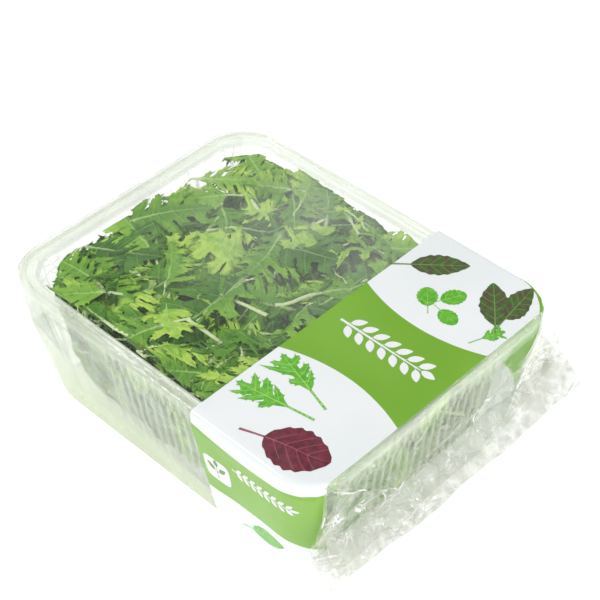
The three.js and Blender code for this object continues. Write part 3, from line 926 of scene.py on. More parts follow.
@dataclass
class FilmWrap:
    """The clear film: a sleeve over the tray, and at each end the sheets that close it."""

    film: float = 0.14
    print_step: float = 0.16
    columns: int = 132
    rows: int = 56
    corner_turn: float = 1.32
    vent_places: tuple[float, ...] = (-42.0, -14.0, 14.0, 42.0)
    vent_z: float = 65.0
    vent_radius: float = 1.5
    corner_reach: float = 20.0
    corner_share: float = 0.95
    corner_low: float = 45.0
    girth_counts: tuple[int, ...] = (29, 5, 4, 24, 5, 12)
    gusset_grid: tuple[int, int] = (30, 22)
    gusset_tuck: float = 4.5
    furthest: float = 130.5
    foot_z: float = 0.25
    calm: Span = (0.18, 0.08)
    seals: tuple[Seal, ...] = (
        Seal(
            1, SealStand.OUT, (106, 38), (125, 31), 85, 1.3, ((-8, -8), (6, 12)), ((0, 0), (11, 19)), 21,
            folds=1.8, gusset_folds=1.3,
        ),
        Seal(
            -1, SealStand.FOLDED, (107, 44), (111.5, 22), 76, 0.6, ((0, 2), (0, 2)), ((0, 0), (0, 0)), 47,
            folds=0.45, gusset_folds=0.5,
        ),
    )
    fold_lines: tuple[Span, ...] = ((-0.896, 12.8), (0.241, 43.5), (1.09, 1.5))

    def sleeve(self) -> Sheet:
        """The film over the top, down both long sides and under the base, as one closed sleeve.

        Returns:
            The sleeve's middle sheet.
        """
        turns = np.linspace(0, self.corner_turn, 12)
        ends = [WRAP.station_of(t) for t in turns]
        corner = ends[0]
        band = WRAP.band_start
        by_band = [band - 4, band - 2, band - 0.2]
        middle = [*np.linspace(-corner, band - 6, 40), *by_band, *np.linspace(band + 2, corner, 19)]
        stations = np.array([*(-s for s in reversed(ends[1:])), *middle, *ends[1:]])
        bounds = (0, *WRAP.marks, WRAP.full)
        spans = zip(bounds, bounds[1:], self.girth_counts)
        half = np.concatenate([np.linspace(low, high, count)[:-1] for low, high, count in spans])
        girths = np.concatenate([half, [WRAP.full], -half[:0:-1]])
        s, g = grid(stations, girths)
        last = WRAP.station_of(1.0)
        under_print = smooth((s - band + 4.2) / 4) * (s < last + 0.5)
        sunk = WRAP.draped(s, g, -self.print_step)
        points = mix(WRAP.draped(s, g, 0.0), sunk, under_print[:, None])
        return Sheet(points, grid_faces(len(stations), len(girths), closed=True))

    def column_places(self, count: int) -> Array:
        """The places across an end, closer together towards the corners."""
        return -np.cos(np.linspace(0, np.pi, count))

    def crumple(self, at: Array, seed: int) -> Array:
        """The sharp, criss-cross folds of crushed film, about -1 to 1, at each place.

        Args:
            at: the places, one row each.
            seed: picks the pattern.

        Returns:
            One value for each.
        """
        flat = at[:, 1:]
        bend = lattice_noise(at, 17, seed)
        total = np.zeros(len(at))
        for k, (cell, weight) in enumerate(((23, 0.5), (14, 0.3), (8.5, 0.2), (5.5, 0.1))):
            angle = 0.6 + 1.9 * k + seed
            way = np.array([math.cos(angle), math.sin(angle)])
            total += weight * tent(flat @ way / cell + 0.9 * bend + 0.5 * lattice_noise(at, 9, seed + k + 1))
        return total

    def resampled(self, lines: Array, rows: int) -> Array:
        """Rows of points spread evenly along each column's line, with its bends rounded a little.

        Args:
            lines: rows of points, from one end of each column to the other.
            rows: how many rows to spread them over.

        Returns:
            The rows.
        """
        steps = np.linalg.norm(np.diff(lines, axis=0), axis=2)
        at = np.vstack([np.zeros(lines.shape[1]), np.cumsum(steps, axis=0)])
        wanted = np.linspace(0, 1, rows)
        out = np.empty((rows, lines.shape[1], 3))
        for k in range(lines.shape[1]):
            for n in range(3):
                out[:, k, n] = np.interp(wanted * at[-1, k], at[:, k], lines[:, k, n])
        for _ in range(2):
            out[1:-1] = 0.25 * out[:-2] + 0.5 * out[1:-1] + 0.25 * out[2:]
        return out

    def rim_x(self, y: Array, half_x: float, half_y: float, corner: float) -> Array:
        """The X of a round-cornered outline at places across the pack."""
        over = np.maximum(0, np.abs(y) - (half_y - corner))
        return half_x - corner + np.sqrt(np.maximum(corner * corner - over * over, 0))

    def end_sheets(self, seal: Seal) -> list[Sheet]:
        """The film that falls from the rim to the seal, the one that rises from the base, and the gussets.

        Args:
            seal: the seal that closes this end.

        Returns:
            The sheets, not yet thickened.
        """
        out = seal.stand is SealStand.OUT
        rows, columns = (self.rows, self.columns) if out else (self.rows - 16, self.columns - 36)
        u = self.column_places(columns)
        side = seal.side
        round_part = 1 - math.cos(self.corner_turn - 0.04)
        rim_half = WRAP.half_width - WRAP.rim_corner * round_part + 8
        base_half = WRAP.half_base_width - WRAP.base_corner * round_part - 4
        rim = self.rim_x(u * rim_half, WRAP.half_length, WRAP.half_width, WRAP.rim_corner) - 0.25
        base = self.rim_x(u * base_half, WRAP.half_base_length, WRAP.half_base_width, WRAP.base_corner)
        ones = np.ones_like(u)

        def line(x: Array, y: Array, z: float) -> Array:
            """One row across the end, on this side."""
            return table(side * x, y, z * ones)

        lip = line(rim, u * rim_half, WRAP.lip_z + 1)
        foot = line(base, u * base_half, self.foot_z)
        place = 8 * np.arccos(np.clip(-u, -1, 1)) / np.pi

        def gathered(start: Array, share: float, layer: float) -> Array:
            """A row part of the way from a start to the seal, with the gathers' folds.

            Args:
                start: the row that it starts from.
                share: how much of the way.
                layer: which of the seal's films it goes to.

            Returns:
                The row.
            """
            fold = side * math.sin(share * math.pi) * (1.2 * np.sin(place * 2.3) + 0.8)
            line_at = mix(start, seal.places(0 * u, u, layer), share)
            line_at[:, 0] += fold
            return line_at

        def crimped(layer: float) -> list[Array]:
            """The rows of one of the seal's two films."""
            return [seal.places(share + 0 * u, u, layer) for share in np.linspace(0, 1, 5)]

        falling = np.stack([
            line(rim - 3.2, u * (rim_half - 2), WRAP.height - 0.35),
            line(rim - 1.3, u * (rim_half - 0.8), WRAP.height - 0.5),
            line(rim - 0.2, u * rim_half, WRAP.height - 2.4),
            lip, gathered(lip, 0.25, 1), gathered(lip, 0.5, 1), gathered(lip, 0.75, 1), *crimped(1),
        ])
        rising_to = crimped(-1) if out else crimped(-1)[:1]
        rising = np.stack([
            line(base - 7, u * base_half, self.foot_z), foot, gathered(foot, 0.35, -1),
            gathered(foot, 0.7, -1), *rising_to,
        ])
        sheets = []
        for number, (lines, calm) in enumerate(zip((falling, rising), self.calm)):
            share = np.linspace(0, 1, rows)[:, None] * np.ones((1, len(u)))
            at = self.resampled(lines, rows).reshape(-1, 3)
            sheet = Sheet(at, grid_faces(rows, len(u)))
            depth = smooth((share - calm) / 0.3).ravel()
            corner = 0.6 + 0.9 * np.abs(np.tile(u, rows)) ** 3
            fold = self.crumple(at, seal.seed + 9 * number) * depth * seal.folds * corner
            if out and number == 0:
                double = self.under_fold(at)
                fold = fold * mix(0.4, 1.0, double) + 1.3 * double * depth
            fold -= 0.5 * depth * (1 - smooth((share.ravel() - 0.6) / 0.2))
            sheet.points = at + sheet.normals() * fold[:, None] * (1 if number == 0 else 0.8)
            sheet.points[:, 0] = side * np.minimum(side * sheet.points[:, 0], self.furthest)
            sheet.points[:, 2] = np.clip(sheet.points[:, 2], 0.3, WRAP.height - 0.1)
            sheets.append(sheet)
        if not out:
            sheets[0] = self.punched(sheets[0])
        sheets += [self.gusset(seal, hand, rim_half, base_half) for hand in (-1, 1)]
        return sheets

    def under_fold(self, at: Array) -> Array:
        """Which points lie below the fold from the two upper corners, where the film is double."""
        fold = np.max([slope * at[:, 1] + start for slope, start in self.fold_lines], axis=0)
        return smooth((fold - at[:, 2]) / 2.4 + 0.5)

    def punched(self, sheet: Sheet) -> Sheet:
        """The sheet with a round vent at each vent's place.

        Args:
            sheet: the film of the end.

        Returns:
            The same sheet, without the faces in the vents.
        """
        centres = np.array([[y, self.vent_z] for y in self.vent_places])
        for centre in centres:
            faces = np.array(sheet.faces)
            middles = sheet.points[faces].mean(axis=1)[:, 1:]
            gone = np.linalg.norm(middles - centre, axis=1) < self.vent_radius * 0.9
            sheet.faces = [tuple(int(i) for i in face) for face in faces[~gone]]
            edge = np.intersect1d(faces[gone], faces[~gone])
            away = sheet.points[edge][:, 1:] - centre
            sheet.points[edge, 1:] = centre + unit(away) * self.vent_radius
        return sheet

    def gusset(self, seal: Seal, hand: int, rim_half: float, base_half: float) -> Sheet:
        """The tucked film at one corner of an end, from the sleeve's edge in to the seal.

        Args:
            seal: the end's seal.
            hand: 1 for the back corner and -1 for the front one.
            rim_half: half the end's width at the rim; not used.
            base_half: half its width at the base; not used.

        Returns:
            The gusset's sheet.
        """
        side = seal.side
        rows, columns = self.gusset_grid
        v, t = grid(np.linspace(0, 1, rows), np.linspace(0, 1, columns))
        turn = self.corner_turn - 0.1
        station = side * WRAP.station_of(turn)
        lip, wall = WRAP.marks[2], WRAP.marks[3]
        start = WRAP.places(np.full_like(v, station), hand * mix(lip, wall + 4, v))
        start[:, 0] += side * 0.4
        ear = seal.places(np.full_like(v, 0.05), np.full_like(v, hand * 0.97), 0)
        ear[:, 2] += (0.5 - v) * 7
        at = mix(start, ear, t[:, None] * 0.92)
        tuck = np.sin(np.pi * t) * (1 - (2 * v - 1) ** 2)
        at[:, 0] -= side * self.gusset_tuck * tuck
        sheet = Sheet(at, grid_faces(rows, columns))
        rise = seal.gusset_folds * np.sin(np.pi * np.clip(t, 0.06, 1))
        fold = self.crumple(at, seal.seed + 5 + hand) * rise
        sheet.points = at + sheet.normals() * fold[:, None]
        sheet.points[:, 2] = np.clip(sheet.points[:, 2], 0.4, WRAP.height)
        return sheet

    def drawn_out(self, sheet: Sheet) -> Sheet:
        """The same sheet, its back corner at the plain end standing out past the tray's round corner.

        Args:
            sheet: a closed plate of film.

        Returns:
            The sheet, moved towards the corner of its box by a share that fades with distance.
        """
        at = sheet.points
        to_end, to_back = -WRAP.half_length - at[:, 0], WRAP.half_width - at[:, 1]
        near = np.exp(-((np.hypot(to_end, to_back) / self.corner_reach) ** 2))
        near = near * smooth((at[:, 2] - self.corner_low) / 30)
        sheet.points = at + table(to_end, to_back, 0 * to_end) * (self.corner_share * near)[:, None]
        return sheet

    def build(self) -> None:
        """Builds the film and puts it in the place of its solid."""
        # loose makes the sleeve milky where it stands off the walls and paints it green there, as light from
        # the leaves
        over = ClearFinish(
            "clear_film", (0.92, 0.95, 0.91), 0.018, 0.33, 0.07, 60.0, 0.25, haze=0.13, loose=0.27
        ).build()
        # the crushed end carries painted glints along its creases and its fold
        standing = ClearFinish(
            "crumpled_film", (0.70, 0.72, 0.63), 0.02, 0.27, 0.035, 140.0, 0.7, crease_glints=0.95, double=0.17,
            fold_lines=self.fold_lines,
        ).build()
        folded = ClearFinish(
            "folded_film", (0.66, 0.69, 0.62), 0.09, 0.62, 0.08, 90.0, 0.3, crease_glints=0.25
        ).build()
        sleeve = make_piece("film_sleeve", self.drawn_out(self.sleeve().thickened(self.film)), [over])
        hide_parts("film_wrap")
        for seal in self.seals:
            sheets = [self.drawn_out(sheet.thickened(self.film)) for sheet in self.end_sheets(seal)]
            out = seal.stand is SealStand.OUT
            name = "film_end_standing" if out else "film_end_folded"
            end = make_piece(name, joined(sheets), [standing if out else folded])
            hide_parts("film_wrap")


# Tray


@dataclass
class Tray:
    """The clear tray: a thin formed sheet with a grooved rim, a ledge, upright ribs and a panelled floor."""

    half_length: float = 112.0
    half_width: float = 87.5
    top: float = 83.5
    floor: float = 2.0
    wall: float = 0.7
    step_z: float = 57.0
    under: float = 77.5
    rim_corner: float = 24.5
    base_corner: float = 16.0
    base_inset: float = 18.0
    rib_pitch: float = 6.0
    rib_half: float = 1.3
    rib_depth: float = 0.9
    rib_low: float = 9.0
    rib_high: float = 72.0
    rib_reach: float = 42.0
    rib_section: tuple[float, ...] = (-1.3, -0.75, -0.3, 0.3, 0.75, 1.3)
    rib_clear: float = 1.6
    low_insets: Span = (18.0, 11.6)
    high_insets: Span = (10.0, 8.0)
    pairs: tuple[float, ...] = (80.0, 86.0)
    corner_steps: int = 14

    def wall_inset(self, z: Array) -> Array:
        """How far in from the rim's edge the wall stands at each height.

        Args:
            z: the heights.

        Returns:
            The insets.
        """
        low = mix(*self.low_insets, (z - 1.5) / (self.step_z - 2.5))
        high = mix(*self.high_insets, (z - self.step_z) / (self.under - self.step_z))
        return np.where(z >= self.step_z, high, low)

    def profile(self) -> Array:
        """The sheet's middle line from the floor's middle to the lip's lower edge, as inset and height.

        Returns:
            One row of inset and height for each point.
        """
        base, below, above = self.wall_inset(np.array([5.5, 56.0, 57.0]))
        panel, crest, groove = self.floor + 1.4, self.top - 0.35, self.top - 1.35
        corners = np.array([
            (72.0, panel), (44.0, panel), (41.0, self.floor), (base + 4.5, self.floor),
            (base + 1.0, self.floor + 0.8), (base, 5.5), (below, 56.0), (above, 57.2), (8.1, 80.5),
            (7.4, crest), (6.0, crest), (5.4, groove), (3.4, groove), (2.8, crest), (1.5, crest),
            (0.4, self.top - 1.9), (0.4, 75.5),
        ])
        line = [corners[0]]
        for a, b, c in zip(corners, corners[1:], corners[2:]):
            near, beyond = (b + (d - b) * min(0.35, 0.9 / np.linalg.norm(d - b)) for d in (a, c))
            line += [near, b * 0.6 + 0.4 * (near + beyond) / 2, beyond]
        line.append(corners[-1])
        fine = [line[0]]
        for a, b in zip(line, line[1:]):
            pieces = max(1, int(np.linalg.norm(b - a) / 4.5))
            fine += [mix(a, b, (k + 1) / pieces) for k in range(pieces)]
        return np.array(fine)

    def side_places(self, reach: float, half: float, pairs: Sequence[float]) -> Array:
        """Places along a straight side, close together on each rib.

        Args:
            reach: how far from the middle the close ribs go.
            half: half the side's length.
            pairs: the places of the lone ribs beyond them.

        Returns:
            The places, in order.
        """
        across = np.array(self.rib_section)
        ribs = np.arange(-reach, reach + 0.1, self.rib_pitch)
        spread = [rib + across for rib in ribs]
        spread += [sign * (np.array(pairs)[:, None] + across[None]).ravel() for sign in (-1, 1) if len(pairs)]
        lone = np.linspace(-half, half, 24)
        near = np.concatenate(spread)
        lone = [p for p in lone if np.abs(near - p).min() > self.rib_clear]
        return np.unique(np.round(np.concatenate([near, lone]), 3))

    def outline(self, inset: float, z: float) -> Array:
        """One level ring of the sheet, with its ribs.

        Args:
            inset: how far in from the rim's edge.
            z: its height.

        Returns:
            One row of X, Y and Z for each.
        """
        shrink = min(1.0, max(0.0, inset / self.base_inset))
        radius = max(2.0, mix(self.rim_corner, self.base_corner, shrink))
        half_x, half_y = self.half_length - inset, self.half_width - inset
        flat_x, flat_y = half_x - radius, half_y - radius
        rim_flat = (self.half_length - self.rim_corner, self.half_width - self.rim_corner)
        long_side = self.side_places(self.rib_reach, rim_flat[0] - 1, self.pairs)
        short_side = self.side_places(self.rib_reach, rim_flat[1] - 1, ())

        def fitted(places: Array, full: float, flat: float) -> Array:
            """Places on a full side, drawn in to a shorter one near its ends.

            Args:
                places: the places.
                full: half the full side's length.
                flat: half the shorter one's.

            Returns:
                The places, moved.
            """
            keep = min(50.0, flat * 0.8)
            squash = (flat - keep) / (full - keep)
            moved = np.sign(places) * (keep + (np.abs(places) - keep) * squash)
            return np.where(np.abs(places) < keep, places, moved)

        long_at = fitted(long_side, rim_flat[0], flat_x)
        short_at = fitted(short_side, rim_flat[1], flat_y)
        ring = []
        turns = np.linspace(0, np.pi / 2, self.corner_steps)
        for quarter, (sx, sy) in enumerate(((1, 1), (-1, 1), (-1, -1), (1, -1))):
            angles = turns + quarter * np.pi / 2
            rounded = radius * table(np.cos(angles), np.sin(angles))
            ring.append(rounded + (sx * flat_x, sy * flat_y))
            if quarter % 2 == 0:
                side = long_at[::-1] * sx
                ring.append(table(side, np.full_like(side, sy * half_y)))
            else:
                side = short_at[::-1] * sy
                ring.append(table(np.full_like(side, sx * half_x), side))
        flat = np.vstack(ring)
        return np.column_stack([flat, np.full(len(flat), z)])

    def ribbed(self, ring: Array, inset: float) -> Array:
        """The ring with its ribs pushed outwards.

        Args:
            ring: one level ring.
            inset: how far in from the rim's edge it lies.

        Returns:
            The ring.
        """
        z = ring[0, 2]
        fade = smooth((z - self.rib_low) / 3) * smooth((self.rib_high - z) / 3)
        if fade <= 0 or inset < 7.9:
            return ring
        half_x, half_y = self.half_length - inset, self.half_width - inset
        on_side = smooth((np.abs(ring[:, 1]) - half_y + 5) / 4)
        on_end = smooth((np.abs(ring[:, 0]) - half_x + 2) / 1.5)
        ribs = np.arange(-self.rib_reach, self.rib_reach + 0.1, self.rib_pitch)
        sides = np.concatenate([ribs, self.pairs, -np.array(self.pairs)])

        def height(at: Array, places: Array) -> Array:
            """How high the nearest rib stands at each place, from 0 to 1."""
            gap = np.abs(at[:, None] - places[None]).min(axis=1)
            return smooth(1.15 * (1 - gap / self.rib_half))

        out = ring.copy()
        lift = self.rib_depth * fade
        out[:, 1] += np.sign(ring[:, 1]) * lift * height(ring[:, 0], sides) * on_side
        out[:, 0] += np.sign(ring[:, 0]) * lift * height(ring[:, 1], ribs) * on_end * (1 - on_side)
        return out

    def build(self) -> None:
        """Builds the tray and puts it in the place of its solid."""
        rings = [self.ribbed(self.outline(inset, z), inset) for inset, z in self.profile()]
        count = len(rings[0])
        faces = grid_faces(len(rings), count, closed=True)
        middle = np.array([[0.0, 0.0, rings[0][0, 2]]])
        centre = len(rings) * count
        faces += [(centre, (k + 1) % count, k) for k in range(count)]
        sheet = Sheet(np.vstack([*rings, middle]), [tuple(reversed(face)) for face in faces])
        # the tray's green tint is painted light from the leaves behind its walls
        finish = ClearFinish(
            "tray_plastic", (0.84, 0.905, 0.76), 0.055, 0.38, 0.12, 55.0, 0.4, ribs=0.26, rim=0.26
        ).build()
        tray = make_piece("tray_sheet", sheet.thickened(self.wall), [finish])
        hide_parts("tray")


TRAY = Tray()


# Print


@dataclass
class PrintedBand:
    """The printed band: green and white fields in thin skins that lie on the film, with leaf pictures."""

    skin: float = 0.08
    end_turn: float = 0.98
    steps: int = 66
    field_start: float = 33.6
    field_end: float = 106.5
    top_field: Triple = (-23.0, 25.0, 7.0)
    wall_field: Triple = (30.0, 74.0, 3.0)
    back_rise: float = 11.0

    def stations(self) -> Array:
        """Stations along the band, from its straight edge to its end at the pack's corners."""
        return np.linspace(WRAP.band_start + 0.3, WRAP.station_of(self.end_turn), self.steps)

    def along(self, stations: Array) -> Array:
        """The share of a field's length at each station."""
        return (stations - self.field_start) / (self.field_end - self.field_start)

    def bow(self, stations: Array, depth: float) -> Array:
        """How far a field's edge has spread from its waist at each station."""
        return depth * 4 * (self.along(stations) - 0.5) ** 2

    def strip(self, low: Array, high: Array, count: int, lift: float = 0.0) -> Sheet:
        """The skin between two girths at each station.

        Args:
            low: the girth of its lower edge at each station.
            high: that of its upper edge.
            count: how many points between them.
            lift: how far off the film's face.

        Returns:
            The skin's middle sheet.
        """
        stations = self.stations()
        share = np.linspace(0, 1, count)
        girth = mix(low[:, None], high[:, None], share[None])
        station = np.repeat(stations[:, None], count, axis=1)
        points = WRAP.draped(station.ravel(), girth.ravel(), lift)
        return Sheet(points, [face[::-1] for face in grid_faces(len(stations), count)])

    def fields(self) -> tuple[dict[str, Sheet], list[Sheet]]:
        """The green skins by their solid's name, and the white ones between them.

        Returns:
            The green sheets and the white ones.
        """
        stations = self.stations()
        low, high, bow = self.top_field
        top_low, top_high = low - self.bow(stations, bow), high + self.bow(stations, bow)
        low, high, bow = self.wall_field
        wall_top = WRAP.girth_at(high + 0 * stations) - self.bow(stations, bow)
        wall_low = WRAP.girth_at(low + 0 * stations) + self.bow(stations, bow)
        back_top = wall_top - self.back_rise * smooth((self.along(stations) - 0.35) / 0.35)
        seam = 0 * stations + WRAP.full - 0.2
        green = {
            "print_green_top": self.strip(top_low, top_high, 40),
            "print_green_front": self.strip(-wall_low, -wall_top, 34),
            "print_green_back": self.strip(back_top, wall_low, 34),
        }
        white = [
            self.strip(-wall_top, top_low, 56),
            self.strip(top_high, back_top, 56),
            self.strip(wall_low, seam, 40),
            self.strip(-seam, -wall_low, 40),
        ]
        return green, white

    def build(self) -> None:
        """Builds the print and puts it in the place of its solids."""
        # the inside of each field glows as painted light coming through the film
        green_ink, white_ink = (
            [InkFinish(name, *colours).build(), InkFinish(name + "_inside", *colours, glow=glow).build()]
            for name, colours, glow in (
                ("green_ink", ((0.175, 0.395, 0.030), (0.215, 0.44, 0.050)), 0.7),
                ("white_ink", ((0.82, 0.85, 0.855), (0.78, 0.815, 0.825)), 0.5),
            )
        )
        green_fields, white_fields = self.fields()
        for name, sheet in green_fields.items():
            skin = sheet.thickened(self.skin, back_slot=1)
            piece = make_piece(name.replace("print", "skin"), skin, green_ink)
            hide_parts(name)
        skins = [sheet.thickened(self.skin, back_slot=1) for sheet in white_fields]
        band = make_piece("skin_white_band", joined(skins), white_ink)
        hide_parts("print_white_band")


# Leaves


@dataclass
class LeafPattern:
    """The flat cut shape of a leaf, as points along and across in millimetres for a leaf 80 mm long."""

    flat: Array
    faces: list[tuple[int, ...]]
    from_rib: Array
    from_vein: Array

    def layers(self, tone: float) -> dict[str, Array]:
        """The UV layers that the finishes read: the distances off rib and veins, and the tone and length."""
        along = self.flat[:, 0] / LEAF_LENGTH
        return {"veins": table(self.from_rib, self.from_vein), "tone": table(0 * along + tone, along)}


@dataclass(frozen=True)
class LeafStyle:
    """How a pattern is cut: its lobes, how deep they go and how sharply they are toothed."""

    lobes: int
    spread: float
    waist: float
    fill: float
    teeth: int
    tooth: float
    start: float = 0.3
    lean: float = 0.45


PATTERNS = 8
LEAF_LENGTH = 80.0
LEAF_HALF = 17.0
LEAF_MIDDLE = 0.52
STEM_HALF = 1.0
BLADE_END = 0.92
FORWARD_TURN = 0.013
EVEN_STEPS = (0.7548776662, 0.5698402910)
UPWARDS = (0.0, 0.0, 1.0)


def inside_outline(places: Array, outline: Array) -> Array:
    """Which of the flat places an outline goes round.

    Args:
        places: one row of two for each.
        outline: a closed edge, one row for each point.

    Returns:
        True for each place inside.
    """
    turns = np.zeros(len(places), dtype=int)
    for a, b in zip(outline, np.roll(outline, -1, axis=0)):
        left = (b[0] - a[0]) * (places[:, 1] - a[1]) - (b[1] - a[1]) * (places[:, 0] - a[0])
        turns += ((a[1] <= places[:, 1]) & (b[1] > places[:, 1]) & (left > 0)).astype(int)
        turns -= ((a[1] > places[:, 1]) & (b[1] <= places[:, 1]) & (left < 0)).astype(int)
    return turns != 0


def cut_side(style: LeafStyle, shift: float, rng: np.random.Generator) -> tuple[Array, list[Array]]:
    """One side of a leaf's blade, before its lobes are leant forwards.

    Args:
        style: how it is cut.
        shift: how far its lobes stand along from the other side's, in lobes.
        rng: the random numbers.

    Returns:
        The edge from the stem to the end of the blade, and the veins, as places along and out.
    """
    start = style.start * LEAF_LENGTH
    spacing = (BLADE_END * LEAF_LENGTH - start) / (style.lobes + 0.25)
    edge: list[tuple[float, float]] = [(start - 5, STEM_HALF)]
    veins = []
    for k in range(style.lobes):
        b = (k + 0.5) / style.lobes
        centre = start + (k + 0.4 + shift + 0.34 * (rng.random() - 0.5)) * spacing
        drift = rng.uniform(-0.25, 0.5) * spacing
        grow = math.sin(math.pi * min(0.93, 0.14 + 0.74 * b)) ** 0.8
        tip = max(5.0, style.spread * grow * rng.uniform(0.66, 1.2))
        waist = style.waist * (0.3 + 0.7 * grow) * rng.uniform(0.8, 1.2)
        base = spacing * 0.5 * style.fill * (0.55 + 0.45 * grow)

        def half(q: float) -> float:
            """Half a lobe's width, a share q of the way to its tip."""
            return base * (1 - q) * (0.92 + 0.38 * math.sin(math.pi * q))

        sides = {}
        for hand, count in ((-1, style.teeth), (1, max(1, style.teeth - 1))):
            points = [(centre + hand * half(0.0), waist)]
            for n in range(count):
                q = 0.14 + 0.62 * (n + 0.5 * rng.random()) / max(1, count - 0.3)
                room = spacing * 0.5 - half(q)
                height = min(style.tooth * (1.2 - 0.8 * q) * rng.uniform(0.6, 1.3), 1.2 + room * 1.1)
                out = mix(waist, tip, q)
                at = centre + drift * q + hand * half(q)
                points += [(at, out), (at + hand * height * 0.5, out + height * 1.15),
                           (at - hand * height * 0.16, out + height * 0.75)]
            sides[hand] = points
        edge += sides[-1] + [(centre + drift, tip)] + sides[1][::-1]
        outs = np.linspace(0.0, tip * 0.93, max(4, int(tip / 3)))
        veins.append(np.array([(centre + drift * out / tip, out) for out in outs]))
        edge.append((centre + spacing * 0.5, waist * 0.82))
    return np.array(edge), veins


def cut_pattern(style: LeafStyle, seed: int) -> LeafPattern:
    """A leaf's flat shape, cut to a style: a stem and rib with toothed lobes that lean forwards.

    Args:
        style: how it is cut.
        seed: picks the leaf.

    Returns:
        The pattern.
    """
    rng = np.random.default_rng(seed)

    def leant(points: Array, side: int) -> Array:
        """Places along and out, leant forwards on one side of the rib.

        Args:
            points: one row of along and out for each.
            side: 1 or -1.

        Returns:
            The flat places.
        """
        out = points[:, 1]
        along = points[:, 0] + style.lean * out + FORWARD_TURN * out * out - 3.0
        along = np.where(points[:, 0] < style.start * LEAF_LENGTH, points[:, 0], along)
        return table(along, side * out)

    halves, veins = [], []
    for side, shift in ((-1, 0.0), (1, 0.3)):
        edge, found = cut_side(style, shift, rng)
        halves.append(leant(edge, side))
        veins += [leant(vein, side) for vein in found]
    end = BLADE_END * LEAF_LENGTH
    crown = []
    for side in (-1, 1):
        wide = side * rng.uniform(3.2, 4.8)
        crown.append(np.array([(end + 0.4, wide * 0.7), (end + 3.4, wide), (end + 2.8, wide * 0.52)]))
    up = np.linspace(0, style.start - 0.09, 6)
    stem = table(up * LEAF_LENGTH, STEM_HALF * mix(1.25, 0.95, up / style.start))
    outline = np.vstack([
        stem * (1, -1), halves[0], crown[0], [(LEAF_LENGTH, 0.0)], crown[1][::-1], halves[1][::-1],
        stem[::-1],
    ])
    return meshed_pattern(outline, veins)


def meshed_pattern(outline: Array, veins: Sequence[Array], small: bool = False) -> LeafPattern:
    """Fills a leaf's outline with faces that follow its rib and veins.

    Args:
        outline: the closed edge, for a leaf that lies along X and is 80 mm long.
        veins: its veins, each a row of places.
        small: whether it needs few faces inside its edge.

    Returns:
        The pattern, without the parts outside the edge.
    """
    count = len(outline)
    edges = [(k, (k + 1) % count) for k in range(count)]
    inner = [(s * LEAF_LENGTH, off) for s in np.linspace(0.02, 0.97, 21) for off in (0.0, -0.42, 0.42)]
    inner += [
        (x + (1.7 if n % 2 else 0), y)
        for n, y in enumerate(np.arange(-19.8, 19.9, 3.3)) for x in np.arange(24, 80, 3.6) if abs(y) > 1
    ]
    if small:
        inner = [(40.0, 0.0)]
    for vein in veins if not small else ():
        first = count + len(inner)
        inner += [tuple(p) for p in vein]
        edges += [(first + k, first + k + 1) for k in range(len(vein) - 1)]
    given = [Vector(p) for p in [*outline, *inner]]
    flat, _, faces, *_ = delaunay_2d_cdt(given, edges, [], 0, 0.02)
    flat = np.array([tuple(p) for p in flat])
    held = inside_outline(flat[np.array(faces)].mean(axis=1), outline)
    faces = [face for face, kept in zip(faces, held) if kept]
    used = np.unique(np.array(faces))
    order = np.full(len(flat), -1)
    order[used] = np.arange(len(used))
    flat = flat[used]
    faces = [tuple(int(order[i]) for i in face) for face in faces]
    corners = flat[np.array(faces)]
    a, b = corners[:, 1] - corners[:, 0], corners[:, 2] - corners[:, 0]
    area = a[:, 0] * b[:, 1] - a[:, 1] * b[:, 0]
    faces = [f if turn > 0 else f[::-1] for f, turn in zip(faces, area)]
    from_rib = np.abs(flat[:, 1]) / (1.15 - 0.9 * np.clip(flat[:, 0] / LEAF_LENGTH, 0, 1))
    a = np.vstack([vein[:-1] for vein in veins])
    along = np.vstack([vein[1:] for vein in veins]) - a
    t = np.einsum("nmk,mk->nm", flat[:, None] - a[None], along) / (along * along).sum(axis=1)
    near = a[None] + np.clip(t, 0, 1)[..., None] * along[None]
    from_vein = np.linalg.norm(flat[:, None] - near, axis=2).min(axis=1)
    return LeafPattern(flat, faces, from_rib, from_vein)


@dataclass
class LeafPlace:
    """Where a leaf lies, which way it grows and faces, and how it bends."""

    middle: Array
    along: Array
    facing: Array
    length: float
    half_width: float
    sink: float
    pitch: float
    curl: float
    roll: float
    twist: float
    bend: float
    fold: float
    ripple: float
    tone: float
    clear: float
    pattern: int
    mirrored: bool = False


@dataclass(frozen=True)
class LeafHabit:
    """The ranges that a group's leaves are drawn from, in millimetres and radians."""

    length: Span
    half_width: Span
    sink: Span
    pitch: Span
    curl: Span
    roll: float
    twist: float
    bend: float
    fold: Span
    ripple: Span
    tone: Span
    clear: float

    def placed(self, rng: np.random.Generator, middle: Row, along: Row, facing: Row) -> LeafPlace:
        """A leaf drawn from the ranges.

        Args:
            rng: the random numbers.
            middle: where its middle lies.
            along: which way it grows.
            facing: which way its upper face looks.

        Returns:
            Its place and bends.
        """
        given = [np.array(row, dtype=float) for row in (middle, along, facing)]
        spans = (self.length, self.half_width, self.sink, self.pitch, self.curl)
        sizes = [rng.uniform(*span) for span in spans]
        roll = rng.normal(0, self.roll)
        turns = [rng.uniform(-reach, reach) for reach in (self.twist, self.bend)]
        looks = [rng.uniform(*span) for span in (self.fold, self.ripple, self.tone, (0.0, self.clear))]
        pattern, mirrored = int(rng.integers(PATTERNS)), bool(rng.integers(2))
        return LeafPlace(*given, *sizes, roll, *turns, *looks, pattern, mirrored)


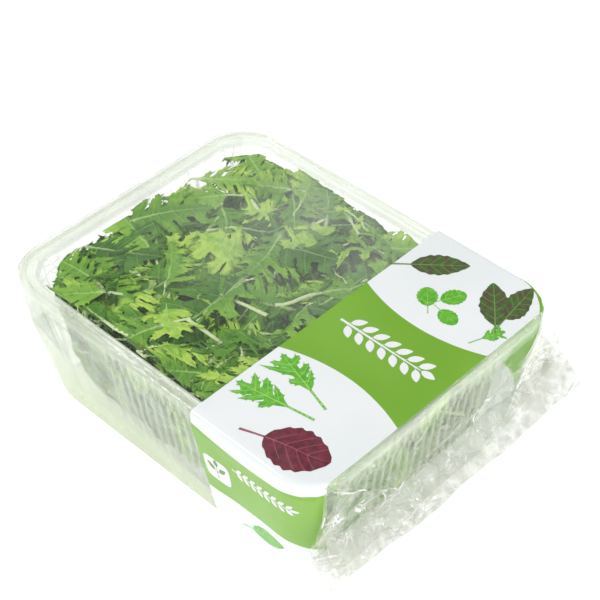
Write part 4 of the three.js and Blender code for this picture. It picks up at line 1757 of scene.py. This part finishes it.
@dataclass
class LeafHeap:
    """The loose leaves: those that the solids are laid out with, and more above, between and beneath them."""

    seed: int = 905
    blade: float = 0.26
    rim_gap: float = 1.5
    wall_gap: float = 1.8
    floor_z: float = 4.1
    soft: float = 4.5
    cavity_corner: float = 20.0
    core_high: float = 62.0
    core_inset: float = 7.0
    core_grid: tuple[int, int] = (40, 96)
    edge_reach: Span = (93.0, 69.0)
    wall_lengths: Span = (190, 140)
    bare_end: float = 13.0
    top_limit: float = 82.3
    top_grid: tuple[int, int] = (9, 4)
    first_pattern: int = 70
    styles: tuple[LeafStyle, ...] = tuple(LeafStyle(*row) for row in (
        (5, 19.0, 5.0, 0.86, 3, 3.2, 0.30),
        (4, 20.0, 7.2, 0.90, 4, 3.4, 0.32),
        (6, 17.0, 4.0, 0.78, 2, 2.6, 0.28, 0.55),
        (4, 18.0, 8.0, 0.94, 3, 3.6, 0.34, 0.4),
        (5, 20.0, 6.0, 0.88, 3, 3.0, 0.28),
        (4, 16.0, 7.6, 0.90, 3, 3.2, 0.38, 0.35),
        (6, 19.0, 4.2, 0.80, 3, 2.8, 0.26, 0.5),
        (4, 19.0, 6.4, 0.86, 4, 3.4, 0.34, 0.5),
    ))

    def cavity(self, z: Array) -> tuple[Array, Array]:
        """The half sizes of the space for leaves at a height."""
        inset = self.rim_gap + TRAY.wall_inset(np.clip(z - 4, 1.5, TRAY.under)) + self.wall_gap
        return WRAP.half_length - inset, WRAP.half_width - inset

    def kept_inside(self, at: Array, clear: float) -> Array:
        """Points moved inside the tray and under the film, a little clear of both.

        Args:
            at: the points, one row each.
            clear: how far from the walls they keep.

        Returns:
            The points, moved.
        """
        at = at.copy()
        high = self.top_limit - 0.4 * clear
        z = at[:, 2]
        over = np.maximum(z - (high - self.soft), 0)
        z = np.where(over > 0, high - self.soft * np.exp(-over / self.soft), z)
        z = np.maximum(z, self.floor_z + clear)
        half_x, half_y = self.cavity(z)
        low_edge = np.maximum(0, 8.5 - z) * 0.8 + clear
        half_x, half_y = half_x - low_edge, half_y - low_edge
        radius = self.cavity_corner
        over_x = np.abs(at[:, 0]) - (half_x - radius)
        over_y = np.abs(at[:, 1]) - (half_y - radius)
        both = (over_x > 0) & (over_y > 0)
        share = np.minimum(1, radius / np.maximum(np.hypot(over_x, over_y), 1e-9))
        round_x = np.sign(at[:, 0]) * (half_x - radius + over_x * share)
        round_y = np.sign(at[:, 1]) * (half_y - radius + over_y * share)
        x = np.where(both, round_x, np.clip(at[:, 0], -half_x, half_x))
        y = np.where(both, round_y, np.clip(at[:, 1], -half_y, half_y))
        return table(x, y, z)

    def source_places(self) -> list[LeafPlace]:
        """The leaves that the solids have, drawn from the same seed.

        Returns:
            Their places: 36 on top, 28 at the walls and 4 beneath.
        """
        draw = DrawStream(self.seed).draw
        raw = []

        def near_cell(cell: int, cells: int) -> float:
            """A place near the middle of one of a row's cells, from -0.5 to 0.5."""
            return (cell + 0.5 + (draw() - 0.5) * 0.6) / cells - 0.5

        wide, deep = self.top_grid
        for i in range(wide * deep):
            across, along = near_cell(i % wide, wide), near_cell(i // wide, deep)
            z = mix(69, 81, draw())
            raw.append(([across * 196, along * 148, z], None, (0, 0, 1), z - 57, 1.0))
        for sign in (-1, 1):
            for count, long in ((4, True), (3, False)):
                for i in range(count * 2):
                    step = ((i // 2 + 0.3 + 0.4 * (i % 2)) / count - 0.5) * (176 if long else 124)
                    z = mix(19, 47, ((i % 2) + 0.5 * draw()) / 1.5)
                    half_x, half_y = (float(v) for v in self.cavity(np.array(z)))
                    middle = [step, sign * (half_y - 1), z] if long else [sign * (half_x - 1), step, z]
                    facing = (0, sign, 0) if long else (sign, 0, 0)
                    raw.append((middle, long, facing, 12.0, 0.74))
        for i in range(4):
            across, along = near_cell(i % 2, 2), near_cell(i // 2, 2)
            draw()
            raw.append(([across * 150, along * 110, 4.0], None, (0, 0, -1), 6.0, 0.8))
        rng = np.random.default_rng(self.seed)
        places = []
        for number, (middle, long, facing, sink, size) in enumerate(raw):
            spin = draw() * math.pi * 2
            length = mix(64, 96, draw()) * size
            half_width = length * mix(0.19, 0.26, draw())
            arch = mix(0, 5, draw())
            bend = (draw() - 0.5) * 9
            if long is None:
                heading = np.array([math.cos(spin), math.sin(spin), 0])
            else:
                level, up = math.cos(spin), 0.5 * math.sin(spin)
                heading = np.array([level, 0, up] if long else [0, level, up])
            middle = np.array(middle, dtype=float)
            shift = np.zeros(3)
            for part in (-0.5, 0.48):
                end = (middle + heading * part * length)[None]
                moved = (self.kept_inside(end, 0.0) - end)[0]
                shift = np.where(np.abs(moved) > np.abs(shift), moved, shift)
            roll = (draw() - 0.5) * 0.5
            places.append(LeafPlace(
                middle + shift, heading, np.array(facing, dtype=float), length, half_width, sink * 0.5,
                0.0, arch / 40, roll, rng.uniform(-0.7, 0.7), bend, rng.uniform(-0.2, 0.4),
                rng.uniform(1.0, 3.6), rng.uniform(0.15, 0.8), rng.uniform(0.0, 6.0 if long is None else 1.6),
                int(rng.integers(PATTERNS)), bool(rng.integers(2)),
            ))
        return places

    def scattered(
        self, count: int, levels: Span, reach: Span, tones: Span, seed: int, sizes: Span = (58, 92),
        tilt: float = 0.35,
    ) -> list[LeafPlace]:
        """Leaves strewn over a level, in a jittered spiral so that none of it is bare.

        Args:
            count: how many.
            levels: their lowest and highest middle.
            reach: half the length and width of the ground they cover.
            tones: the range of their tones.
            seed: picks their order.
            sizes: their shortest and longest.
            tilt: how steeply they may lie, in radians.

        Returns:
            Their places.
        """
        rng = np.random.default_rng(seed)
        habit = LeafHabit(
            sizes, (15, 22), (0, 8), (-0.8 * tilt, 0.8 * tilt), (-0.5, 0.9), tilt, 1.3, 6, (-0.35, 0.55),
            (2.5, 7.5), tones, 8.0,
        )
        places = []
        for k in range(count):
            u = (k * EVEN_STEPS[0] + 0.13 * rng.random()) % 1
            v = (k * EVEN_STEPS[1] + 0.13 * rng.random()) % 1
            x, y = mix(self.bare_end - reach[0], reach[0], u), (2 * v - 1) * reach[1]
            spin = rng.uniform(0, 2 * math.pi)
            z = rng.uniform(*levels) - self.slope(x, y)
            places.append(habit.placed(rng, (x, y, z), (math.cos(spin), math.sin(spin), 0.0), UPWARDS))
        return places

    def round_the_edge(self, count: int, seed: int) -> list[LeafPlace]:
        """Leaves all round the top of the heap, close to the tray's walls and high under the film.

        Args:
            count: how many.
            seed: picks them.

        Returns:
            Their places.
        """
        rng = np.random.default_rng(seed)
        habit = LeafHabit(
            (44, 66), (14, 18), (0, 5), (-0.3, 0.25), (-0.4, 0.6), 0.35, 1.2, 5, (-0.3, 0.45), (1.2, 4.0),
            (0.2, 0.9), 6.0,
        )
        half_x, half_y = self.edge_reach
        places = []
        for k in range(count):
            angle = 2 * math.pi * (k + 0.6 * rng.random()) / count
            c, s = math.cos(angle), math.sin(angle)
            reach = 1 / max(abs(c) / half_x, abs(s) / half_y)
            x = float(np.clip(c * reach, 9 - half_x, half_x))
            y = float(np.clip(s * reach, -half_y, half_y - 2))
            spin = math.atan2(s, c) + rng.normal(0, 0.9)
            z = rng.uniform(78, 83)
            places.append(habit.placed(rng, (x, y, z), (math.cos(spin), math.sin(spin), 0.0), UPWARDS))
        return places

    def slope(self, x: float, y: float) -> float:
        """How far the heap's top falls away towards the plain end and the back."""
        end, back = smooth(np.array([(-x - 70) / 30, (y - 52) / 28]))
        return float(2.5 * end + 0.4 * back)

    def against_walls(self, count: int, seed: int) -> list[LeafPlace]:
        """Leaves pressed flat on the insides of the walls.

        Args:
            count: how many.
            seed: picks them.

        Returns:
            Their places.
        """
        rng = np.random.default_rng(seed)
        habit = LeafHabit(
            (48, 76), (12, 17), (2, 8), (-0.08, 0.08), (-0.1, 0.25), 0.12, 0.3, 5, (0, 0.2), (0.3, 1.0),
            (0.45, 1.0), 3.0,
        )
        long, short = self.wall_lengths
        places = []
        for k in range(count):
            around = (k * 0.618034 + 0.05 * rng.random()) % 1 * 2 * (long + short)
            z = 9.5 + 59 * ((k * EVEN_STEPS[0]) % 1)
            half_x, half_y = (float(v) for v in self.cavity(np.array(z)))
            spin = rng.uniform(0, 2 * math.pi)
            level, up = math.cos(spin), 0.8 * math.sin(spin)
            if around < 2 * long:
                sign = -1 if around < long else 1
                middle = (around % long - long / 2, sign * (half_y - 2), z)
                facing, heading = (0, sign, 0), (level, 0, up)
            else:
                sign = -1 if around < 2 * long + short else 1
                middle = (sign * (half_x - 2), (around - 2 * long) % short - short / 2, z)
                facing, heading = (sign, 0, 0), (0, level, up)
            places.append(habit.placed(rng, middle, heading, facing))
        return places

    def laid(self, place: LeafPlace, pattern: LeafPattern, number: int) -> Sheet:
        """One leaf in its place: its pattern scaled, bent along and across, and kept inside the pack.

        Args:
            place: where it lies and how it bends.
            pattern: its flat shape.
            number: its number in the heap, which sets its waves.

        Returns:
            The leaf as a closed plate.
        """
        s = pattern.flat[:, 0] / LEAF_LENGTH
        w = pattern.flat[:, 1] * (-1 if place.mirrored else 1)
        scale = place.length / LEAF_LENGTH
        w = w * mix(scale, place.half_width / LEAF_HALF, smooth((s - 0.2) / 0.2))
        facing = unit(place.facing)
        along = unit(place.along - facing * (place.along @ facing))
        across = np.cross(facing, along)
        across = across * math.cos(place.roll) + facing * math.sin(place.roll)
        face = np.cross(along, across)
        past = s - LEAF_MIDDLE
        t = past * place.length
        turn = place.pitch + place.curl * past * 2
        run = t * np.cos(place.curl * past)
        rise = -t * np.sin(turn) * 0.5 - place.sink * (1 - smooth(s / 0.34)) * (s < 0.34)
        twist = place.twist * (s - 0.5)
        edge = np.abs(w) / place.half_width
        wave = place.ripple * edge * np.sin(s * 21 + number * 1.7 + np.sign(w) * 1.1)
        pucker = 1.1 * edge * np.sin(s * 43 + w * 0.6 + number)
        pucker = pucker + 0.5 * np.sin(s * 29 - np.abs(w) * 0.5 + number)
        cup = -place.fold * np.abs(w) * 0.6 - 0.012 * w * w
        lifted = rise + wave + pucker + cup
        side = w * np.cos(twist) + place.bend * np.sin(np.pi * s)
        at = (
            place.middle + along * run[:, None] + across * side[:, None]
            + face * (lifted + w * np.sin(twist))[:, None]
        )
        at = self.kept_inside(at, place.clear)
        faces = [f[::-1] for f in pattern.faces] if place.mirrored else pattern.faces
        sheet = Sheet(at, faces, pattern.layers(place.tone))
        rib = np.exp(-((pattern.from_rib / 0.8) ** 2)) * mix(1.35, 0.2, np.clip(s / 0.9, 0, 1))
        vein = 0.25 * np.exp(-((pattern.from_vein / 0.4) ** 2))
        return sheet.thickened(self.blade + rib + vein, back_slot=1)

    def shade_core(self) -> Sheet:
        """The pressed mass in the middle of the heap, with a lumpy skin; its dark finish is painted shade
        that shows in the gaps between the leaves.

        Returns:
            The closed skin.
        """
        rows, columns = self.core_grid
        around = np.linspace(0, 2 * np.pi, columns, endpoint=False)
        v, u = grid(np.linspace(-1, 1, rows), around)

        level = signed_power(np.sin(v * np.pi / 2), 0.45)
        ring = np.abs(np.cos(v * np.pi / 2)) ** 0.28
        z = mix(6.0, self.core_high, (level + 1) / 2)
        half_x, half_y = self.cavity(z)
        x = (half_x - self.core_inset) * ring * signed_power(np.cos(u), 0.32)
        y = (half_y - self.core_inset) * ring * signed_power(np.sin(u), 0.32)
        at = table(x, y, z)
        lumps = 2.6 * lattice_noise(at, 17, 61) + 1.3 * lattice_noise(at, 7, 62)
        at = at + table(lumps * np.sign(x) * ring, lumps * np.sign(y) * ring, lumps * level)
        at[:, 2] = np.clip(at[:, 2], 4.6, 66)
        sheet = Sheet(at, grid_faces(rows, columns, closed=True))
        first, last = len(at), len(at) + 1
        ends = np.array([at[:columns].mean(axis=0), at[-columns:].mean(axis=0)])
        sheet.points = np.vstack([at, ends])
        sheet.faces += [(first, (k + 1) % columns, k) for k in range(columns)]
        start = (rows - 1) * columns
        sheet.faces += [(last, start + k, start + (k + 1) % columns) for k in range(columns)]
        return sheet

    def build(self) -> None:
        """Builds the leaves and puts them in the place of their solid."""
        tones = (
            (0.0, (0.016, 0.066, 0.004)), (0.3, (0.044, 0.158, 0.008)), (0.6, (0.110, 0.300, 0.016)),
            (0.85, (0.240, 0.480, 0.040)), (1.0, (0.450, 0.680, 0.090)),
        )
        under_tones = tuple((at, tuple(0.7 * c + 0.08 for c in colour)) for at, colour in tones)
        upper = LeafFinish("leaf_upper", tones).build()
        under = LeafFinish("leaf_under", under_tones, veining=0.75, roughness=0.62).build()
        patterns = [cut_pattern(style, self.first_pattern + k) for k, style in enumerate(self.styles)]
        source = self.source_places()
        groups = {
            "leaves_top": source[:36],
            "leaves_upper": self.scattered(54, (69, 80), (94, 70), (0.15, 0.85), 11, (50, 86), 0.55),
            "leaves_edge": self.round_the_edge(38, 16),
            # the layer between gets only the darkest tones, as painted shade under the upper leaves
            "leaves_between_painted_shade": self.scattered(62, (56, 69), (96, 73), (0.0, 0.3), 12, tilt=0.6),
            "leaves_young": self.scattered(48, (72, 82), (88, 65), (0.6, 1.0), 13, (32, 60), 0.85),
            "leaves_sides": source[36:64] + self.against_walls(72, 14),
            "leaves_beneath": source[64:] + [
                self.turned_down(place)
                for place in self.scattered(14, (5, 9), (78, 56), (0.2, 0.7), 15, tilt=0.1)
            ],
        }
        number = 0
        for name, places in groups.items():
            sheets = []
            for place in places:
                sheets.append(self.laid(place, patterns[place.pattern], number))
                number += 1
            piece = make_piece(name, joined(sheets), [upper, under], crisp=False)
            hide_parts("mizuna_leaves")
        # the middle mass is dark as painted shade, seen in the gaps between the outer leaves
        pressed = ShadeMassFinish().build()
        shade_core = make_piece("leaves_painted_shade_mass", self.shade_core(), [pressed], crisp=False)
        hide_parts("mizuna_leaves")

    def turned_down(self, place: LeafPlace) -> LeafPlace:
        """The same leaf, facing the base and lying flat on it.

        Args:
            place: a leaf's place.

        Returns:
            The place, changed.
        """
        place.facing = np.array([0.0, 0.0, -1.0])
        place.middle = np.array([place.middle[0], place.middle[1], 5.0])
        place.sink = -2.0
        return place


# Pictures on the print


class Cut(Enum):
    """The outlines that the printed pictures are made of."""

    OVAL = "a pointed oval leaf with a stalk"
    ROUND = "a small round leaflet with a short stalk"
    LOBED = "a salad leaf with toothed lobes"
    STALK = "a bent stalk without a leaf"
    LABEL = "a square with round corners"


@dataclass(frozen=True)
class Cutting:
    """One printed outline: its kind, the place of its middle on the print, its length and its turn."""

    cut: Cut
    station: float
    girth: float
    length: float
    turn: float
    seed: int = 1
    bend: float = 0.0


@dataclass
class Pictures:
    """Plain pictures of salad leaves on the white fields, and white leaf sprigs where the print is green."""

    skin: float = 0.05
    lift: float = 0.11
    label_half: float = 9.0

    def outline(self, cutting: Cutting) -> tuple[Array, list[Array]]:
        """The edge and veins of an outline, for a length of 80 along X.

        Args:
            cutting: the outline's kind, size and seed.

        Returns:
            The edge and the veins.
        """
        rng = np.random.default_rng(cutting.seed)
        middle = [np.array([(10.0, 0.0), (40.0, 0.0), (70.0, 0.0)])]
        if cutting.cut is Cut.LABEL:
            turns = np.linspace(0, 2 * np.pi, 48, endpoint=False)
            ring = table(np.cos(turns), np.sin(turns))
            return signed_power(ring, 0.42) * 40 + (40, 0), middle
        if cutting.cut is Cut.STALK:
            s = np.linspace(0, 80, 18)
            half = np.linspace(1.1, 0.5, 18)
            return np.vstack([table(s, -half), table(s, half)[::-1]]), middle
        narrow = cutting.cut is Cut.OVAL
        start, wide = (20.0, 15.0) if narrow else (22.0, 22.0)
        s = np.linspace(0.03, 0.97, 30)
        half = wide * np.sin(np.pi * s ** (0.85 if narrow else 1.0)) ** (0.8 if narrow else 0.55)
        half = half * (1 + 0.05 * np.sin(s * 40 + cutting.seed)) + 0.5 * rng.random(30)
        x = start + (80 - start) * s
        stalk = np.array([(0.0, 1.2), (start * 0.6, 0.9), (start, 0.9)])
        side = np.vstack([stalk, table(x, half)])
        edge = np.vstack([side * (1, -1), [(80.0, 0.0)], side[::-1]])
        veins = []
        for share in (0.14, 0.32, 0.5, 0.67):
            for hand in (-1, 1):
                root = start + (80 - start) * share
                tip = wide * math.sin(math.pi * min(0.95, share + 0.12)) ** 0.8 * 0.86
                out = np.linspace(0, tip, 6)
                veins.append(table(root + 0.75 * out + 0.012 * out * out, hand * out))
        return edge, veins

    def laid(self, cutting: Cutting, lift: float) -> Sheet:
        """One outline as a thin closed plate that follows the print.

        Args:
            cutting: the outline and its place.
            lift: how far off the film's face it lies.

        Returns:
            The plate.
        """
        if cutting.cut is Cut.LOBED:
            pattern = cut_pattern(LeafStyle(3, 20.0, 6.5, 0.88, 2, 3.4, 0.40, 0.55), cutting.seed)
        else:
            pattern = meshed_pattern(*self.outline(cutting), small=cutting.length < 13)
        scale = cutting.length / LEAF_LENGTH
        a = (pattern.flat[:, 0] - LEAF_LENGTH / 2) * scale
        b = pattern.flat[:, 1] * scale + cutting.bend * (1 - (2 * a / cutting.length) ** 2)
        c, s = math.cos(cutting.turn), math.sin(cutting.turn)
        station, girth = cutting.station + a * c - b * s, cutting.girth + a * s + b * c
        at = WRAP.draped(station, girth, lift)
        return Sheet(at, pattern.faces, pattern.layers(0.5)).thickened(self.skin)

    def put(
        self, name: str, cuttings: Sequence[Cutting], finish: Material, slot: str, lift: float
    ) -> None:
        """Builds one piece from its outlines."""
        piece = make_piece(name, joined([self.laid(cutting, lift) for cutting in cuttings]), [finish])

    def sprig(self, start: float, end: float, girth: float, size: float, count: int) -> list[Cutting]:
        """A straight stalk along the pack with pairs of leaflets.

        Args:
            start: the station where the stalk starts.
            end: the station where it ends.
            girth: its girth.
            size: a leaflet's length.
            count: how many pairs.

        Returns:
            The stalk and its leaflets.
        """
        length = end - start
        cuttings = [Cutting(Cut.STALK, (start + end) / 2, girth, length, 0.0)]
        for k in range(count):
            at = start + length * (k + 0.6) / count
            for hand in (-1, 1):
                turn = hand * 0.8
                out = 0.42 * size
                place = (at + out * math.cos(turn), girth + out * math.sin(turn))
                cuttings.append(Cutting(Cut.OVAL, *place, size, turn, k + 3))
        cuttings.append(Cutting(Cut.OVAL, end + 0.35 * size, girth, size, 0.0, 2))
        return cuttings

    def build(self) -> None:
        """Builds the pictures and the sprigs."""
        wall = WRAP.girth_at
        green = PictureFinish("picture_green", (0.07, 0.36, 0.010), (0.16, 0.50, 0.030), (0.40, 0.68, 0.20))
        wine = PictureFinish("picture_wine", (0.085, 0.008, 0.018), (0.19, 0.018, 0.040), (0.40, 0.10, 0.13))
        bronze = PictureFinish(
            "picture_bronze", (0.050, 0.150, 0.018), (0.090, 0.055, 0.035), (0.20, 0.38, 0.10)
        )
        leaves = {
            "picture_green_leaves": (green, (
                (Cut.LOBED, 57.0, -39.0, 43.0, 2.85, 8), (Cut.LOBED, 56.0, -57.0, 45.0, 3.3, 5),
                (Cut.ROUND, 63.0, 43.0, 19.0, 2.3, 4), (Cut.ROUND, 70.0, 51.0, 19.0, 1.1, 6),
                (Cut.ROUND, 76.0, 41.0, 17.0, -0.2, 7), (Cut.LOBED, 101.0, 44.0, 22.0, 1.2, 9),
                (Cut.OVAL, 72.0, -wall(15.0), 34.0, 0.25, 3, 1.0),
            )),
            "picture_wine_leaf": (wine, ((Cut.ROUND, 79.0, -75.0, 46.0, 0.25, 12, 1.5),)),
            "picture_bronze_leaves": (bronze, (
                (Cut.OVAL, 47.0, 64.0, 40.0, 0.7, 14), (Cut.OVAL, 92.0, 60.0, 40.0, 2.3, 15),
                (Cut.OVAL, 98.0, 69.0, 36.0, 1.7, 17),
            )),
        }
        for name, (finish, rows) in leaves.items():
            self.put(name, [Cutting(*row) for row in rows], finish.build(), "green_ink", self.lift)
        white = InkFinish("sprig_white", (0.83, 0.85, 0.85), (0.80, 0.82, 0.83)).build()
        label = Cutting(Cut.LABEL, 44.5, -wall(49.0), 2 * self.label_half, 0.0)
        self.put("sprigs_white", [
            *self.sprig(41.0, 92.0, 4.0, 11.0, 7), *self.sprig(57.0, 94.0, -wall(61.0), 6.5, 8), label,
        ], white, "white_ink", self.lift)
        leaf = InkFinish("label_green", (0.10, 0.26, 0.02), (0.13, 0.30, 0.03)).build()
        rows = (
            (Cut.STALK, 44.5, -wall(47.0), 10.0, 1.57), (Cut.OVAL, 47.6, -wall(50.0), 8.5, 0.75, 5),
            (Cut.OVAL, 41.4, -wall(50.0), 8.5, 2.39, 6), (Cut.OVAL, 44.5, -wall(54.0), 7.5, 1.57, 7),
        )
        self.put("label_sprig", [Cutting(*row) for row in rows], leaf, "green_ink", self.lift + 0.09)


# Studio


@dataclass(frozen=True)
class AreaLamp:
    """A square lamp that looks at the pack."""

    name: str
    place: Triple
    watts: float
    size: float

    def build(self) -> None:
        """Hangs the lamp."""
        data = bpy.data.lights.new(self.name, "AREA")
        data.energy, data.size = self.watts, self.size
        lamp = added(self.name, data)
        lamp.location = self.place
        aim = Vector((0, 0, 0.05)) - Vector(self.place)
        lamp.rotation_euler = aim.to_track_quat("-Z", "Y").to_euler()


@dataclass(frozen=True)
class Studio:
    """The plain pale floor, the soft light and the camera at the photograph's angle."""

    azimuth: float = 45.052
    elevation: float = 42.89
    roll: float = -1.264
    distance: float = 0.8105
    aside: float = 0.012224
    up: float = -0.008063
    height: float = 0.085
    lens: float = 97.28
    sensor: float = 36.0
    floor_half: float = 3.0
    world_strength: float = 0.47
    lamps: tuple[AreaLamp, ...] = tuple(AreaLamp(*row) for row in (
        ("key_lamp", (-1.12, -1.25, 1.7), 23.5, 0.44),
        ("fill_lamp", (0.95, 1.0, 1.2), 3.4, 0.4),
        ("side_lamp", (1.3, 0.1, 0.75), 3.2, 0.06),
        ("end_lamp", (1.3, -0.45, 0.25), 4.2, 0.35),
        ("glint_lamp", (0.75, -0.9, 1.3), 1.0, 0.045),
        ("rim_lamp", (0.4, 1.1, 0.7), 1.2, 0.05),
        ("back_lamp", (-0.8, 0.35, 1.1), 1.6, 0.06),
    ))

    def camera(self) -> None:
        """Sets the camera where the photograph was taken from."""
        a, e, r = (math.radians(v) for v in (self.azimuth, self.elevation, self.roll))
        back = Vector((math.sin(a) * math.cos(e), -math.cos(a) * math.cos(e), math.sin(e)))
        right = Vector((math.cos(a), math.sin(a), 0))
        above = back.cross(right)
        turned = right * math.cos(r) + above * math.sin(r)
        upward = above * math.cos(r) - right * math.sin(r)
        target = turned * self.aside + upward * self.up + Vector((0, 0, self.height))
        data = bpy.data.cameras.new("camera")
        data.lens, data.sensor_width = self.lens, self.sensor
        data.clip_start, data.clip_end = 0.05, 20.0
        camera = added("camera", data)
        matrix = Matrix((turned, upward, back)).transposed().to_4x4()
        matrix.translation = target + back * self.distance
        camera.matrix_world = matrix
        bpy.context.scene.camera = camera

    def floor(self) -> None:
        """Lays the floor just under the pack."""
        half = self.floor_half
        mesh = bpy.data.meshes.new("floor")
        corners = [(x * half, y * half, -0.0002) for x, y in ((-1, -1), (1, -1), (1, 1), (-1, 1))]
        mesh.from_pydata(corners, [], [(0, 1, 2, 3)])
        mesh.materials.append(FloorFinish().build())
        floor = added("floor", mesh)

    def build(self) -> None:
        """Sets up the camera, the floor, the world and the lamps."""
        scene = bpy.context.scene
        self.camera()
        self.floor()
        world = bpy.data.worlds.new("white_room")
        world.use_nodes = True
        ground = world.node_tree.nodes["Background"]
        ground.inputs["Color"].default_value = (1.0, 1.0, 1.0, 1.0)
        ground.inputs["Strength"].default_value = self.world_strength
        scene.world = world
        scene.view_settings.view_transform = "Standard"
        scene.cycles.transparent_max_bounces = 32
        for lamp in self.lamps:
            lamp.build()


def main() -> None:
    """Builds the pack's dress in order."""
    logging.basicConfig(level=logging.INFO, format="%(message)s", force=True)
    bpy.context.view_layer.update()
    Studio().build()
    LeafHeap().build()
    TRAY.build()
    FilmWrap().build()
    PrintedBand().build()
    Pictures().build()


if __name__ == "__main__":
    main()
